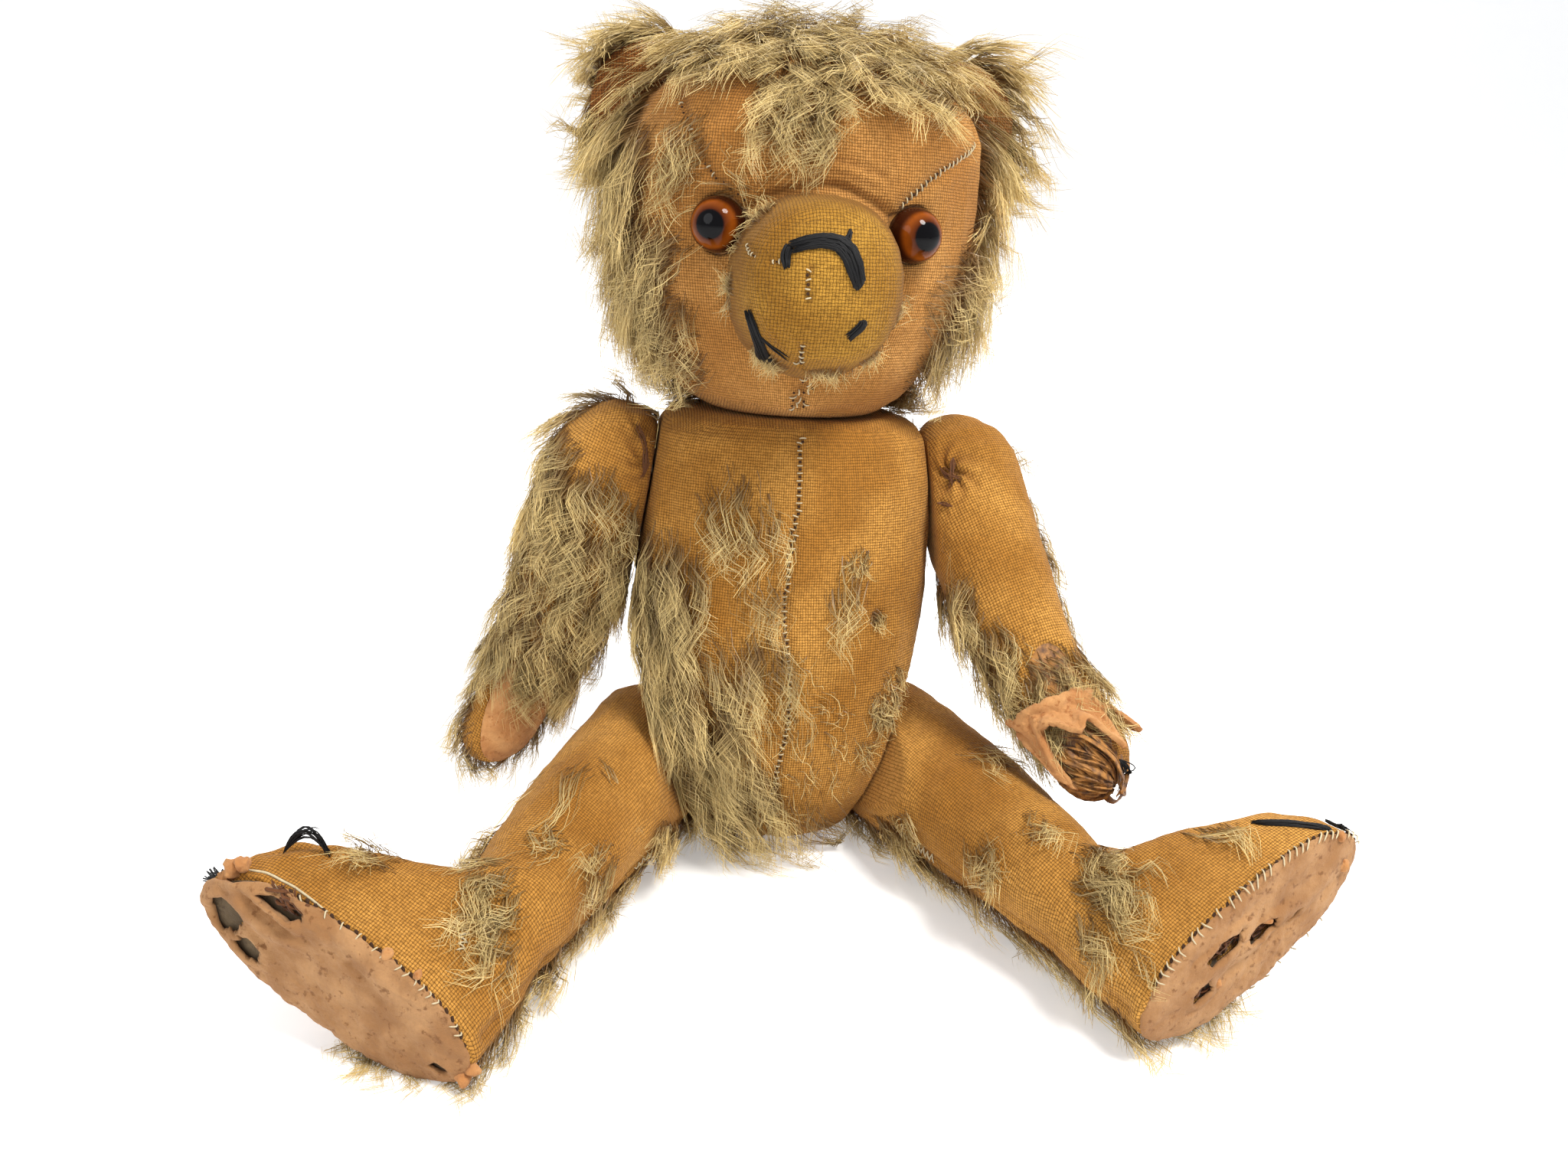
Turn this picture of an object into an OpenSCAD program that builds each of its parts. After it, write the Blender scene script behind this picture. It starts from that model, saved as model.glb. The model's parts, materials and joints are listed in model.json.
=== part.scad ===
// Jointed teddy bear, 33 cm when it stands, shown sitting with its legs out.
// Millimetres. +Z is up, the bear faces -Y, and its own left side is +X.
// The origin is the middle of the flat spot that the torso sits on.
// Each limb turns on a pair of hardboard discs held by a cotter pin.

/* [Cloth] */
// Thickness of the backing cloth with its seam folds
cloth_t = 1.6; // [1.2:0.1:2]
// Thickness of the felt of the paws and soles
felt_t = 1.8; // [1.4:0.1:2.2]

/* [Torso] */
// Widest width of the torso
torso_w = 85; // [82:1:88]
// Widest depth of the torso, front to back
torso_d = 78; // [74:1:82]
// Height from the seat to the neck joint
torso_h = 127; // [126:0.5:128]
// Degrees that the seated torso leans back
lean = 4.1; // [3:0.1:6]
// Degrees that the seated torso leans to its own left
side_lean = 1.8; // [0:0.1:3]

/* [Head] */
// Widest width of the head
head_w = 96; // [92:1:98]
// Height of the head above the neck joint
head_h = 98; // [96:1:100]
// Depth of the head without the muzzle
head_d = 81; // [78:1:84]
// Width of the muzzle where it meets the face
muzzle_w = 47; // [44:1:49]
// How far the muzzle stands out from the middle of the head
muzzle_reach = 69; // [66:1:72]
// Diameter of a glass eye
eye_d = 14; // [12:0.5:15]
// Distance between the middles of the eyes
eye_gap = 50; // [49:1:54]
// Width of an ear
ear_w = 36; // [32:1:38]

/* [Arms] */
// Length of an arm from its round top to the tip of the paw
arm_l = 117; // [114:1:119]
// Thickness of an arm, side to side
arm_w = 31; // [29:1:33]
// Depth of an arm at the shoulder, front to back
arm_d = 36; // [33:1:38]
// Degrees that the bear's right arm is swung forward
right_arm_swing = -8; // [-12:1:0]
// Degrees that the bear's left arm is swung forward
left_arm_swing = 34; // [34:1:44]

/* [Legs] */
// Length of a leg from the hip pin to the sole
leg_l = 126; // [124:1:127]
// Thickness of the thigh
thigh_d = 41; // [38:1:42]
// Thickness of the ankle
ankle_d = 29; // [27:1:30]
// Length of a sole, heel to toe
sole_l = 74; // [73:1:76]
// Width of a sole
sole_w = 29; // [27:1:31]
// How far the bear's right sole is set to the outer side of its foot
right_sole_shift = 7.5; // [6:0.5:9]
// How far the bear's left sole is set to the outer side of its foot
left_sole_shift = 4; // [3:0.5:6]
// Degrees that the bear's right leg is raised about its hip pin
right_leg_rise = 3.5; // [2.2:0.1:5]
// Degrees that the bear's left leg is raised about its hip pin
left_leg_rise = 4.4; // [2.2:0.1:6]
// Degrees that the feet are turned out
foot_turn = 43; // [42:0.5:45]

/* [Joints] */
// Diameter of the neck discs
neck_disc_d = 40; // [34:1:42]
// Diameter of the shoulder discs
shoulder_disc_d = 20; // [18:1:21]
// Diameter of the hip discs
hip_disc_d = 25; // [22:1:26]
// Thickness of each hardboard disc
disc_t = 2.8; // [2:0.1:3]
// Diameter of the cotter pins
pin_d = 2.6; // [2:0.1:3]
// Space between the two cloth faces at each joint
joint_gap = 0.6; // [0.5:0.1:0.8]

/* [Hidden] */
SIDES = ["left", "right"];
JOINTS = ["neck", "left_shoulder", "right_shoulder", "left_hip", "right_hip"];

$fn = 48;
far = 400;              // larger than the whole bear
fit = 0.05;             // running clearance around each pin
slack = 0.1;            // clearance around parts laid in the stuffing
half_gap = joint_gap / 2;
washer_t = 0.8;
washer_d = 12;
curl_r = 2.4;           // radius of the pin's eye and of its curled ends
wire_d = 1.4;           // thickness of one leg of a cotter pin
pocket_d = 15;          // hollow in the stuffing where a pin's end turns
pocket_depth = 8.5;
board_t = 1.4;          // card inside each sole
thread_t = 0.7;         // how far the black stitches stand proud

// Where the discs lie, measured from the middle of the gap
disc_in = half_gap + cloth_t;
washer_in = disc_in + disc_t;
end_in = washer_in + washer_t;

// Joint centres: the neck and shoulders in the torso's own leaned frame, the hips upright
neck_at = [0, 0, torso_h];
shoulder_at = [39.3, -3, 108];
shoulder_tilt = 8;      // degrees that the shoulder pin points up
arm_flare = 8;          // degrees between the arm and its disc
arm_out = arm_w / 2 - 0.5; // middle of the arm, out from the shoulder joint
hip_at = [27, -9.5, 27];
hip_tilt = 20;          // degrees that the hip pin points down
hip_back = 10;          // degrees that the hip pin points back
leg_flare = 14;         // degrees between the leg and its disc
leg_out = 11.6;         // middle of the leg, out from the hip joint
leg_top = -20;          // round upper end of the leg, above the hip pin
arm_top = -17;          // round upper end of the arm, above the shoulder pin

felt = [0.87, 0.62, 0.45];
cloth = [0.80, 0.58, 0.31];
brown = [0.55, 0.38, 0.22];

// ---- Rows of stations: [distance, middle, half width, half depth in front, half depth behind],
// and for the arms and legs a last value: how far the middle lies outward
k_t = torso_w / 85;
k_td = torso_d / 78;
TORSO = [for (r = [[-2, 0, 18, 22, 22], [12, 0, 31.5, 32, 31], [28, 0, 40, 38, 36.5],
    [48, 0, 42, 40, 38], [66, 0, 42.5, 40, 38], [86, 0, 42.4, 36, 36], [106, 0, 43, 33, 33],
    [118, 0, 41.5, 31, 31], [torso_h + 4, 0, 34, 29, 29]])
    [r[0], r[1], r[2] * k_t, r[3] * k_td, r[4] * k_td]];
k_h = head_w / 96;
k_hd = head_d / 81;
HEAD = [for (r = [[-4, 0, 30, 29, 29], [8, 0, 34, 32, 32], [20, 0, 40.5, 36.5, 37],
    [34, 0, 45.5, 38.5, 41], [48, 0, 47.8, 39, 42], [62, 0, 48, 39, 42], [76, 0, 47.5, 38, 40],
    [88, 0, 44, 34, 36], [head_h, 0, 40, 30, 32]])
    [r[0], r[1], r[2] * k_h, r[3] * k_hd, r[4] * k_hd]];
k_m = muzzle_w / 47;
MUZZLE = [for (r = [[20, 0, 24, 26, 25], [36, 0, 22.5, 24.5, 23], [50, 0, 20.5, 22, 20.5],
    [60, 0, 18, 19, 18.5], [muzzle_reach, 0, 15.5, 16.5, 16]])
    [r[0], r[1] * k_m, r[2] * k_m, r[3] * k_m, r[4] * k_m]];
arm_end = arm_l + arm_top;
k_aw = arm_w / 31;
k_ad = arm_d / 36;
ARM = [for (r = [[arm_top, 0, 14, 15, 14.5, -4.5], [0, 0, 17, 17.5, 17.5, -3.5],
    [22, 0, 16, 17.5, 18, -3.3], [44, 0.5, 14.2, 16.2, 16.2, -2.5], [64, 2, 12.6, 14, 14, -0.5],
    [80, 5, 11, 11.5, 12, 2.5], [arm_end, 10, 10, 10.5, 10.5, 6]])
    [r[0], r[1], r[2] * k_aw, r[3] * k_ad, r[4] * k_ad, r[5]]];
cover_end = leg_l - felt_t;
sole_mid = 19;          // middle of the sole, ahead of the middle of the leg
half_l = sole_l / 2;
half_w = sole_w / 2;
r_th = thigh_d / 2;
r_an = ankle_d / 2;
function leg_rows(side) = let(s = sole_shift(side)) [[leg_top, 0, r_th, r_th, r_th, 0],
    [0, 0, r_th, r_th, r_th, 0], [26, 0, r_th - 1.5, r_th - 1, r_th - 1, 0],
    [50, -0.5, r_th - 3.5, r_th - 3, r_th - 3, 0], [74, -1.5, r_an + 1.4, r_an + 1.2, r_an + 1.2, 0],
    [89, -2, r_an, r_an, r_an, 0], [96, 5, r_an - 0.5, 20, 21, s * 0.15],
    [103, 13, half_w + 0.6, half_l - 8.5, half_l - 6.5, s * 0.45],
    [112, 17.5, half_w + 1.2, half_l - 2.5, half_l - 1.8, s * 0.75],
    [leg_l + 1, sole_mid, half_w, half_l, half_l, s]];

// ---- Lofts: smooth closed skins through rows of stations
// Index of the pair of rows that distance d falls between
function span(rows, d, i = 0) =
    i >= len(rows) - 2 || d < rows[i + 1][0] ? i : span(rows, d, i + 1);
// Slope of column c at row i
function slope(rows, i, c) =
    let(a = max(i - 1, 0), b = min(i + 1, len(rows) - 1))
    (rows[b][c] - rows[a][c]) / (rows[b][0] - rows[a][0]);
// Smooth value of column c at distance d
function at(rows, d, c) =
    let(i = span(rows, d), h = rows[i + 1][0] - rows[i][0], t = (d - rows[i][0]) / h)
    rows[i][c] * (2 * t ^ 3 - 3 * t ^ 2 + 1) + rows[i + 1][c] * (3 * t ^ 2 - 2 * t ^ 3)
    + h * slope(rows, i, c) * (t ^ 3 - 2 * t ^ 2 + t) + h * slope(rows, i + 1, c) * (t ^ 3 - t ^ 2);
// Distances of the rings: close together in a round end of length a or b
function stops(d0, d1, a, b, n, m) = concat(
    a > 0 ? [for (i = [1:m]) d0 + a * (1 - cos(90 * i / (m + 1)))] : [d0],
    [for (i = [0:n]) d0 + a + (d1 - d0 - a - b) * i / n],
    b > 0 ? [for (i = [m:-1:1]) d1 - b * (1 - cos(90 * i / (m + 1)))] : []);
// How far a round end has closed at distance x from its tip
function dome(x, a) = a <= 0 || x >= a ? 1 : sqrt(max(0, 1 - (1 - x / a) ^ 2));
function sgn_pow(v, p) = sign(v) * abs(v) ^ p;

// A closed skin from d0 to d1 with round ends of length a and b, shrunk by inset
module loft(rows, d0, d1, a, b, inset = 0, sides = 24, n = 10, m = 4, square = 2.2) {
    e0 = d0 + (a > 0 ? inset : 0);
    e1 = d1 - (b > 0 ? inset : 0);
    a1 = max(a - inset, 0);
    b1 = max(b - inset, 0);
    ds = stops(e0, e1, a1, b1, n, m);
    points = [for (d = ds) let(k = dome(d - e0, a1) * dome(e1 - d, b1), y0 = at(rows, d, 1),
        x0 = len(rows[0]) > 5 ? at(rows, d, 5) : 0)
        for (j = [0:sides - 1])
            let(q = 360 * (j + 0.5) / sides, u = sgn_pow(cos(q), 2 / square),
                v = sgn_pow(sin(q), 2 / square), deep = at(rows, d, v > 0 ? 3 : 4) - inset)
            [x0 + k * u * (at(rows, d, 2) - inset), y0 + k * v * deep, d]];
    rings = len(ds);
    skin = [for (r = [0:rings - 2]) for (j = [0:sides - 1])
        let(p = r * sides + j, q = r * sides + (j + 1) % sides)
        [p, p + sides, q + sides, q]];
    ends = [[for (j = [0:sides - 1]) j],
        [for (j = [sides - 1:-1:0]) (rings - 1) * sides + j]];
    polyhedron(points, concat(skin, ends), convexity = 6);
}

// ---- Frames
// The bear's right side is the mirror of its left side
module for_side(side) { mirror([side == "right" ? 1 : 0, 0, 0]) children(); }
module leaned(side = "left") {
    rotate([-lean, 0, 0]) rotate([0, side_lean, 0]) for_side(side) children();
}
module at_neck(side = "left") { leaned(side) translate(neck_at) children(); }
module at_shoulder(side) {
    leaned(side) translate(shoulder_at) rotate([0, 90 - shoulder_tilt, 0]) children();
}
module at_hip(side) {
    for_side(side) translate(hip_at) rotate([0, 90 + hip_tilt, hip_back]) children();
}
// The arm's own frame: Z runs down the arm, Y forward, X outward
module on_arm(side) {
    at_shoulder(side) rotate([0, 90, 0]) rotate([0, 0, 180]) rotate([-swing_of(side), 0, 0])
        rotate([0, arm_flare, 0]) translate([arm_out, 0, 0]) children();
}
// The leg's own frame: Z runs down the leg and Y points at the toes
module on_leg(side) {
    at_hip(side) rotate([90, 0, 0]) rotate([0, 0, 90]) rotate([-rise_of(side), 0, 0])
        rotate([0, leg_flare, 0]) translate([leg_out, 0, 0]) rotate([0, 0, -foot_turn]) children();
}
function swing_of(side) = side == "left" ? left_arm_swing : right_arm_swing;
function rise_of(side) = side == "left" ? left_leg_rise : right_leg_rise;
function sole_shift(side) = side == "left" ? left_sole_shift : right_sole_shift;
// Everything further out than z along a joint's pin
module beyond(z) { translate([-far / 2, -far / 2, z]) cube(far); }
module short_of(z) { translate([-far / 2, -far / 2, z - far]) cube(far); }

// ---- Joint hardware, along a pin whose Z points into the limb
module ring_disc(d, hole, z, t) {
    translate([0, 0, z]) difference() {
        cylinder(d = d, h = t);
        translate([0, 0, -1]) cylinder(d = hole, h = t + 2);
    }
}
module limb_disc(d) { color(brown) ring_disc(d, pin_d, disc_in, disc_t); }
module body_disc(d) { color(brown) ring_disc(d, pin_d + 2 * fit, -washer_in, disc_t); }
module limb_washer() { color("silver") ring_disc(washer_d, pin_d, washer_in, washer_t); }
module body_washer() { color("silver") ring_disc(washer_d, pin_d + 2 * fit, -end_in, washer_t); }
module cotter_pin() {
    color("gray") {
        reach = end_in + fit;
        translate([0, 0, -reach - wire_d]) cylinder(d = pin_d, h = 2 * reach + 2 * wire_d);
        // The eye of the pin, inside the limb
        translate([0, 0, reach + wire_d + curl_r]) rotate([90, 0, 0])
            rotate_extrude() translate([curl_r, 0]) circle(d = wire_d, $fn = 20);
        // The two ends, curled over inside the torso
        for (s = [0, 180]) rotate([0, 0, s])
            translate([curl_r, 0, -reach - wire_d / 2 - fit]) rotate([90, 0, 0]) rotate([0, 0, 180])
                rotate_extrude(angle = 180) translate([curl_r, 0]) circle(d = wire_d, $fn = 20);
    }
}
// Room that the stuffing leaves for a disc, its washer and the end of the pin
module limb_room(d) {
    translate([0, 0, -1]) cylinder(d = d + 2 * slack, h = 1 + washer_in);
    cylinder(d = washer_d + 2 * slack, h = end_in);
    cylinder(d = pocket_d, h = end_in + pocket_depth);
}
module body_room(d) { mirror([0, 0, 1]) limb_room(d); }
module pin_hole(clear) {
    translate([0, 0, -washer_in]) cylinder(d = pin_d + 2 * clear, h = 2 * washer_in);
}
module at_joint(joint) {
    if (joint == "neck") at_neck() children();
    if (joint == "left_shoulder") at_shoulder("left") children();
    if (joint == "right_shoulder") at_shoulder("right") children();
    if (joint == "left_hip") at_hip("left") children();
    if (joint == "right_hip") at_hip("right") children();
}
function disc_d(joint) =
    joint == "neck" ? neck_disc_d
    : joint == "left_hip" || joint == "right_hip" ? hip_disc_d : shoulder_disc_d;

// ---- Torso
module torso_loft(inset) {
    leaned() loft(TORSO, -2, torso_h + 4, 10, 10, inset, sides = 28, n = 11, m = 3, square = 2.3);
}
// The torso shrunk by inset, cut flat at the seat and at each joint
module torso_solid(inset) {
    difference() {
        torso_loft(inset);
        short_of(inset);
        at_neck() beyond(-half_gap - inset);
        for (side = SIDES) {
            at_shoulder(side) beyond(-half_gap - inset);
            at_hip(side) beyond(-half_gap - inset);
        }
    }
}
module torso_cover() {
    color(cloth) difference() {
        torso_solid(0);
        torso_solid(cloth_t);
        for (j = JOINTS) at_joint(j) pin_hole(fit);
    }
}
module torso_stuffing() {
    color("burlywood") difference() {
        torso_solid(cloth_t);
        for (j = JOINTS) at_joint(j) body_room(disc_d(j));
    }
}

// ---- Head
module head_loft(inset) {
    at_neck() loft(HEAD, -4, head_h, 13, 24, inset, sides = 28, n = 7, m = 4, square = 2.15);
}
// The muzzle's own frame: Z runs forward out of the face and Y down
module on_muzzle() {
    at_neck() translate([0, 0, 36]) rotate([88, 0, 0]) mirror([0, 1, 0]) children();
}
module muzzle_loft(inset) {
    on_muzzle() loft(MUZZLE, 20, muzzle_reach, 0, 12, inset, sides = 24, n = 5, m = 4);
}
module head_solid(inset) {
    difference() {
        head_loft(inset);
        at_neck() short_of(half_gap + inset);
    }
}
module at_eye(side) {
    at_neck(side) translate([eye_gap / 2, -37, 50]) rotate([90, 0, 24]) children();
}
module eye(side) {
    color("sienna") at_eye(side) difference() {
        sphere(d = eye_d);
        translate([-eye_d, -eye_d, -2 * eye_d - eye_d / 4]) cube(2 * eye_d);
    }
}
module eye_shank(side) {
    color("silver") at_eye(side) translate([0, 0, -eye_d / 4 - 5]) {
        cylinder(d = 1.2, h = 5);
        translate([0, 0, -1.8]) rotate([90, 0, 0])
            rotate_extrude() translate([2, 0]) circle(d = 1, $fn = 16);
    }
}
module eye_room(side) {
    at_eye(side) {
        sphere(d = eye_d + 2 * slack);
        translate([0, 0, -eye_d / 4 - 10]) cylinder(d = 7, h = 10);
    }
}
module head_cover() {
    color([0.80, 0.53, 0.34]) difference() {
        head_solid(0);
        head_solid(cloth_t);
        muzzle_loft(cloth_t);
        at_neck() pin_hole(0);
        for (side = SIDES) eye_room(side);
    }
}
module muzzle_cover() {
    color([0.76, 0.58, 0.25]) difference() {
        muzzle_loft(0);
        muzzle_loft(cloth_t);
        head_loft(0);
        for (side = SIDES) eye_room(side);
    }
}
module head_stuffing() {
    color("burlywood") difference() {
        union() {
            head_solid(cloth_t);
            muzzle_loft(cloth_t);
        }
        at_neck() limb_room(neck_disc_d);
        for (side = SIDES) eye_room(side);
    }
}
// A thin skin standing proud of the muzzle, from which stitches are cut
module muzzle_thread() {
    difference() {
        muzzle_loft(-thread_t);
        muzzle_loft(0);
    }
}
module nose_stitching() {
    color([0.08, 0.08, 0.08]) intersection() {
        muzzle_thread();
        on_muzzle() translate([-10, -10.5, 50]) cube([20, 3.5, 30]);
    }
}
module mouth_stitching() {
    color([0.08, 0.08, 0.08]) intersection() {
        muzzle_thread();
        on_muzzle() for (x = [-15, 14]) translate([x, 4, 45]) cube([1.4, 9, 30]);
    }
}
// Half of a dished disc, cut off where it meets the head
module ear_half(side, inner, outer) {
    difference() {
        intersection() {
            at_ear(side) rotate_extrude() intersection() {
                difference() {
                    translate([0, -34]) circle(r = 34 + outer);
                    translate([0, -34]) circle(r = 34 + inner);
                }
                translate([0, -20]) square([ear_w / 2, 40]);
            }
            at_neck(side) translate([14, -far / 2, 60]) cube(far);
        }
        head_loft(0);
    }
}
module at_ear(side) {
    at_neck(side) translate([42, 1, 78]) rotate([0, 45, 0]) rotate([90, 0, 16]) children();
}
module ear_front(side) { color(cloth) ear_half(side, 0.1, 2.3); }
module ear_back(side) { color("tan") ear_half(side, -2.2, 0); }

// ---- Arms
module arm_loft(side, inset) {
    on_arm(side) loft(ARM, arm_top, arm_end, 18, 10, inset, sides = 20, n = 8, m = 3);
}
module arm_solid(side, inset) {
    difference() {
        arm_loft(side, inset);
        at_shoulder(side) short_of(half_gap + inset);
    }
}
// A prism from the palm side that holds the shape of the felt pad
module palm(side) {
    on_arm(side) translate([0, 11, arm_end - 22]) rotate([-90, 0, 0])
        linear_extrude(40) scale([0.5, 1]) circle(r = 19);
}
module arm_cover(side) {
    color(cloth) difference() {
        arm_solid(side, 0);
        arm_solid(side, cloth_t);
        palm(side);
        at_shoulder(side) pin_hole(0);
    }
}
module arm_stuffing(side) {
    color("burlywood") difference() {
        arm_solid(side, cloth_t);
        at_shoulder(side) limb_room(shoulder_disc_d);
    }
}
module paw_pad(side) {
    color(felt) difference() {
        intersection() {
            arm_solid(side, 0);
            palm(side);
        }
        arm_solid(side, cloth_t);
    }
}
module paw_claws(side) {
    color([0.08, 0.08, 0.08]) intersection() {
        difference() {
            arm_loft(side, -thread_t);
            arm_loft(side, 0);
        }
        on_arm(side) for (x = [-4, 0, 4]) translate([x - 0.5, -far, arm_end - 9])
            cube([1, far + 8, 12]);
    }
}

// ---- Legs
module leg_loft(side, end, inset) {
    on_leg(side) loft(leg_rows(side), leg_top, end, 16, 0, inset, sides = 20, n = 16, m = 3);
}
module leg_solid(side, end, inset) {
    difference() {
        leg_loft(side, end, inset);
        at_hip(side) short_of(half_gap + inset);
    }
}
module leg_cover(side) {
    color(cloth) difference() {
        leg_solid(side, cover_end, 0);
        leg_solid(side, leg_l, cloth_t);
        at_hip(side) pin_hole(0);
    }
}
module leg_stuffing(side) {
    color("burlywood") difference() {
        leg_solid(side, leg_l, cloth_t);
        on_leg(side) beyond(cover_end - board_t);
        at_hip(side) limb_room(hip_disc_d);
    }
}
// The sole's outline, shrunk by inset, as a plate between two distances down the leg
module sole_plate(side, from, to, inset) {
    row = [0, sole_mid, half_w, half_l, half_l, sole_shift(side)];
    on_leg(side) translate([0, 0, from])
        loft([row, row + [leg_l, 0, 0, 0, 0, 0]], 0, to - from, 0, 0, inset, sides = 28, n = 1);
}
module foot_pad(side) { color(felt) sole_plate(side, cover_end, leg_l, 0.2); }
module foot_board(side) {
    color("rosybrown") sole_plate(side, cover_end - board_t, cover_end, cloth_t + 1.2);
}
module foot_claws(side) {
    color([0.08, 0.08, 0.08]) intersection() {
        difference() {
            leg_loft(side, cover_end, -thread_t);
            leg_loft(side, cover_end, 0);
        }
        on_leg(side) for (x = [-8, 0, 8]) translate([x - 0.5, 40, cover_end - 20])
            cube([1, 40, 18]);
    }
}

// ---- Every node
torso_cover();
torso_stuffing();
head_cover();
head_stuffing();
muzzle_cover();
nose_stitching();
mouth_stitching();
for (s = SIDES) {
    eye(s);
    eye_shank(s);
    ear_front(s);
    ear_back(s);
    arm_cover(s);
    arm_stuffing(s);
    paw_pad(s);
    paw_claws(s);
    leg_cover(s);
    leg_stuffing(s);
    foot_pad(s);
    foot_board(s);
    foot_claws(s);
}
for (j = JOINTS) {
    at_joint(j) limb_disc(disc_d(j));
    at_joint(j) body_disc(disc_d(j));
    at_joint(j) limb_washer();
    at_joint(j) body_washer();
    at_joint(j) cotter_pin();
}
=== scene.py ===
import json
import math

import bmesh
import bpy
import numpy as np
from mathutils import Matrix, Vector, noise
from mathutils.bvhtree import BVHTree
from mathutils.kdtree import KDTree


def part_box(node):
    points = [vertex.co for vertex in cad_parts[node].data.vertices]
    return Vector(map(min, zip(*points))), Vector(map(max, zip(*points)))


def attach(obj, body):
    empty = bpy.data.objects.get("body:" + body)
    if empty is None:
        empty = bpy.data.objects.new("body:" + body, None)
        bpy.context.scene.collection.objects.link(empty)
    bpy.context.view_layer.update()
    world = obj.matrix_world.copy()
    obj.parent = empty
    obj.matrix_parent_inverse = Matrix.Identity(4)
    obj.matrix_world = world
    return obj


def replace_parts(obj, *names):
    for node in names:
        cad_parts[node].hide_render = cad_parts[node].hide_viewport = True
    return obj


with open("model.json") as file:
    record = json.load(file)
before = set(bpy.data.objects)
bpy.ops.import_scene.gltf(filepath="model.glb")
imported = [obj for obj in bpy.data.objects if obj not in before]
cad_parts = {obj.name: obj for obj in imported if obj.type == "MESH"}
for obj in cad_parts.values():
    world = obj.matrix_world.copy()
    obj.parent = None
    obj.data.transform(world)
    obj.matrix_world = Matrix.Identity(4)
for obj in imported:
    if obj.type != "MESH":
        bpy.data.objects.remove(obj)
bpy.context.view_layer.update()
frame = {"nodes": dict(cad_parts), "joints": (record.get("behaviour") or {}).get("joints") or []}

MM = 0.001
SIDES = {"left": 1.0, "right": -1.0}        # the bear's own sides; its left is +X


# ---- camera, light and floor
def unit(v):
    """A vector, or each row of an array of them, at length 1."""
    v = np.asarray(v, float)
    return v / np.maximum(np.linalg.norm(v, axis=-1, keepdims=True), 1e-12)


def add(name, data):
    """A new object in the scene."""
    obj = bpy.data.objects.new(name, data)
    bpy.context.scene.collection.objects.link(obj)
    return obj


def add_camera():
    """A camera a little to the bear's right and above it, tilted a little, aimed at a point above the seat."""
    elevation, azimuth, roll = (math.radians(a) for a in (19.6, -6.2, 2.0))
    target, distance = np.array([3.0, 0, 74.6]) * MM, 400 * MM
    back = np.array([math.sin(azimuth) * math.cos(elevation),
                     -math.cos(azimuth) * math.cos(elevation), math.sin(elevation)])
    data = bpy.data.cameras.new("camera")
    data.sensor_width, data.lens, data.clip_start = 36, 31.2, 0.01
    camera = add("camera", data)
    level = Vector(back).to_track_quat("Z", "Y").to_matrix().to_4x4()
    camera.matrix_world = Matrix.Translation(target + back * distance) @ level @ Matrix.Rotation(roll, 4, "Z")
    bpy.context.scene.camera = camera


def add_light(name, place, size, watts, colour=(1, 1, 1)):
    data = bpy.data.lights.new(name, "AREA")
    data.shape = "DISK"
    data.size, data.energy, data.color = size, watts, colour
    light = add(name, data)
    light.location = place
    light.rotation_euler = (Vector((0, 0, 0.1)) - Vector(place)).to_track_quat("-Z", "Y").to_euler()


def add_stage():
    """A white sweep: a floor that curves up into a backdrop behind the bear. Soft light from high on its left."""
    wall, bend, top, half = 1.2, 1.2, 4.0, 5
    rows = [(-3.0, 0.0), (wall, 0.0)]
    rows += [(wall + bend * math.sin(a), bend - bend * math.cos(a)) for a in np.linspace(0.1, math.pi / 2, 12)]
    rows += [(wall + bend, top)]
    points = [(x, y, z) for y, z in rows for x in (-half, half)]
    faces = [(2 * i, 2 * i + 1, 2 * i + 3, 2 * i + 2) for i in range(len(rows) - 1)]
    mesh = bpy.data.meshes.new("sweep")
    mesh.from_pydata(points, [], faces)
    sweep = add("sweep", mesh)
    sweep.location.z = -0.3 * MM
    take_material(sweep, plain("sweep", (0.88, 0.88, 0.88), 0.8, Emission_Color=(1, 1, 1, 1),
                               Emission_Strength=0.3))
    add_light("key", (0.5, -0.55, 1.25), 0.45, 21.0, (1, 0.98, 0.94))
    add_light("fill", (-0.9, -0.8, 0.7), 0.9, 4.5, (0.97, 0.98, 1))
    add_light("rim", (0.1, 0.9, 0.9), 0.8, 7.0)
    world = bpy.data.worlds.new("studio")
    world.use_nodes = True
    sky = world.node_tree.nodes["Background"].inputs
    sky[0].default_value, sky[1].default_value = (0.95, 0.97, 1, 1), 0.62
    bpy.context.scene.world = world


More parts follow.
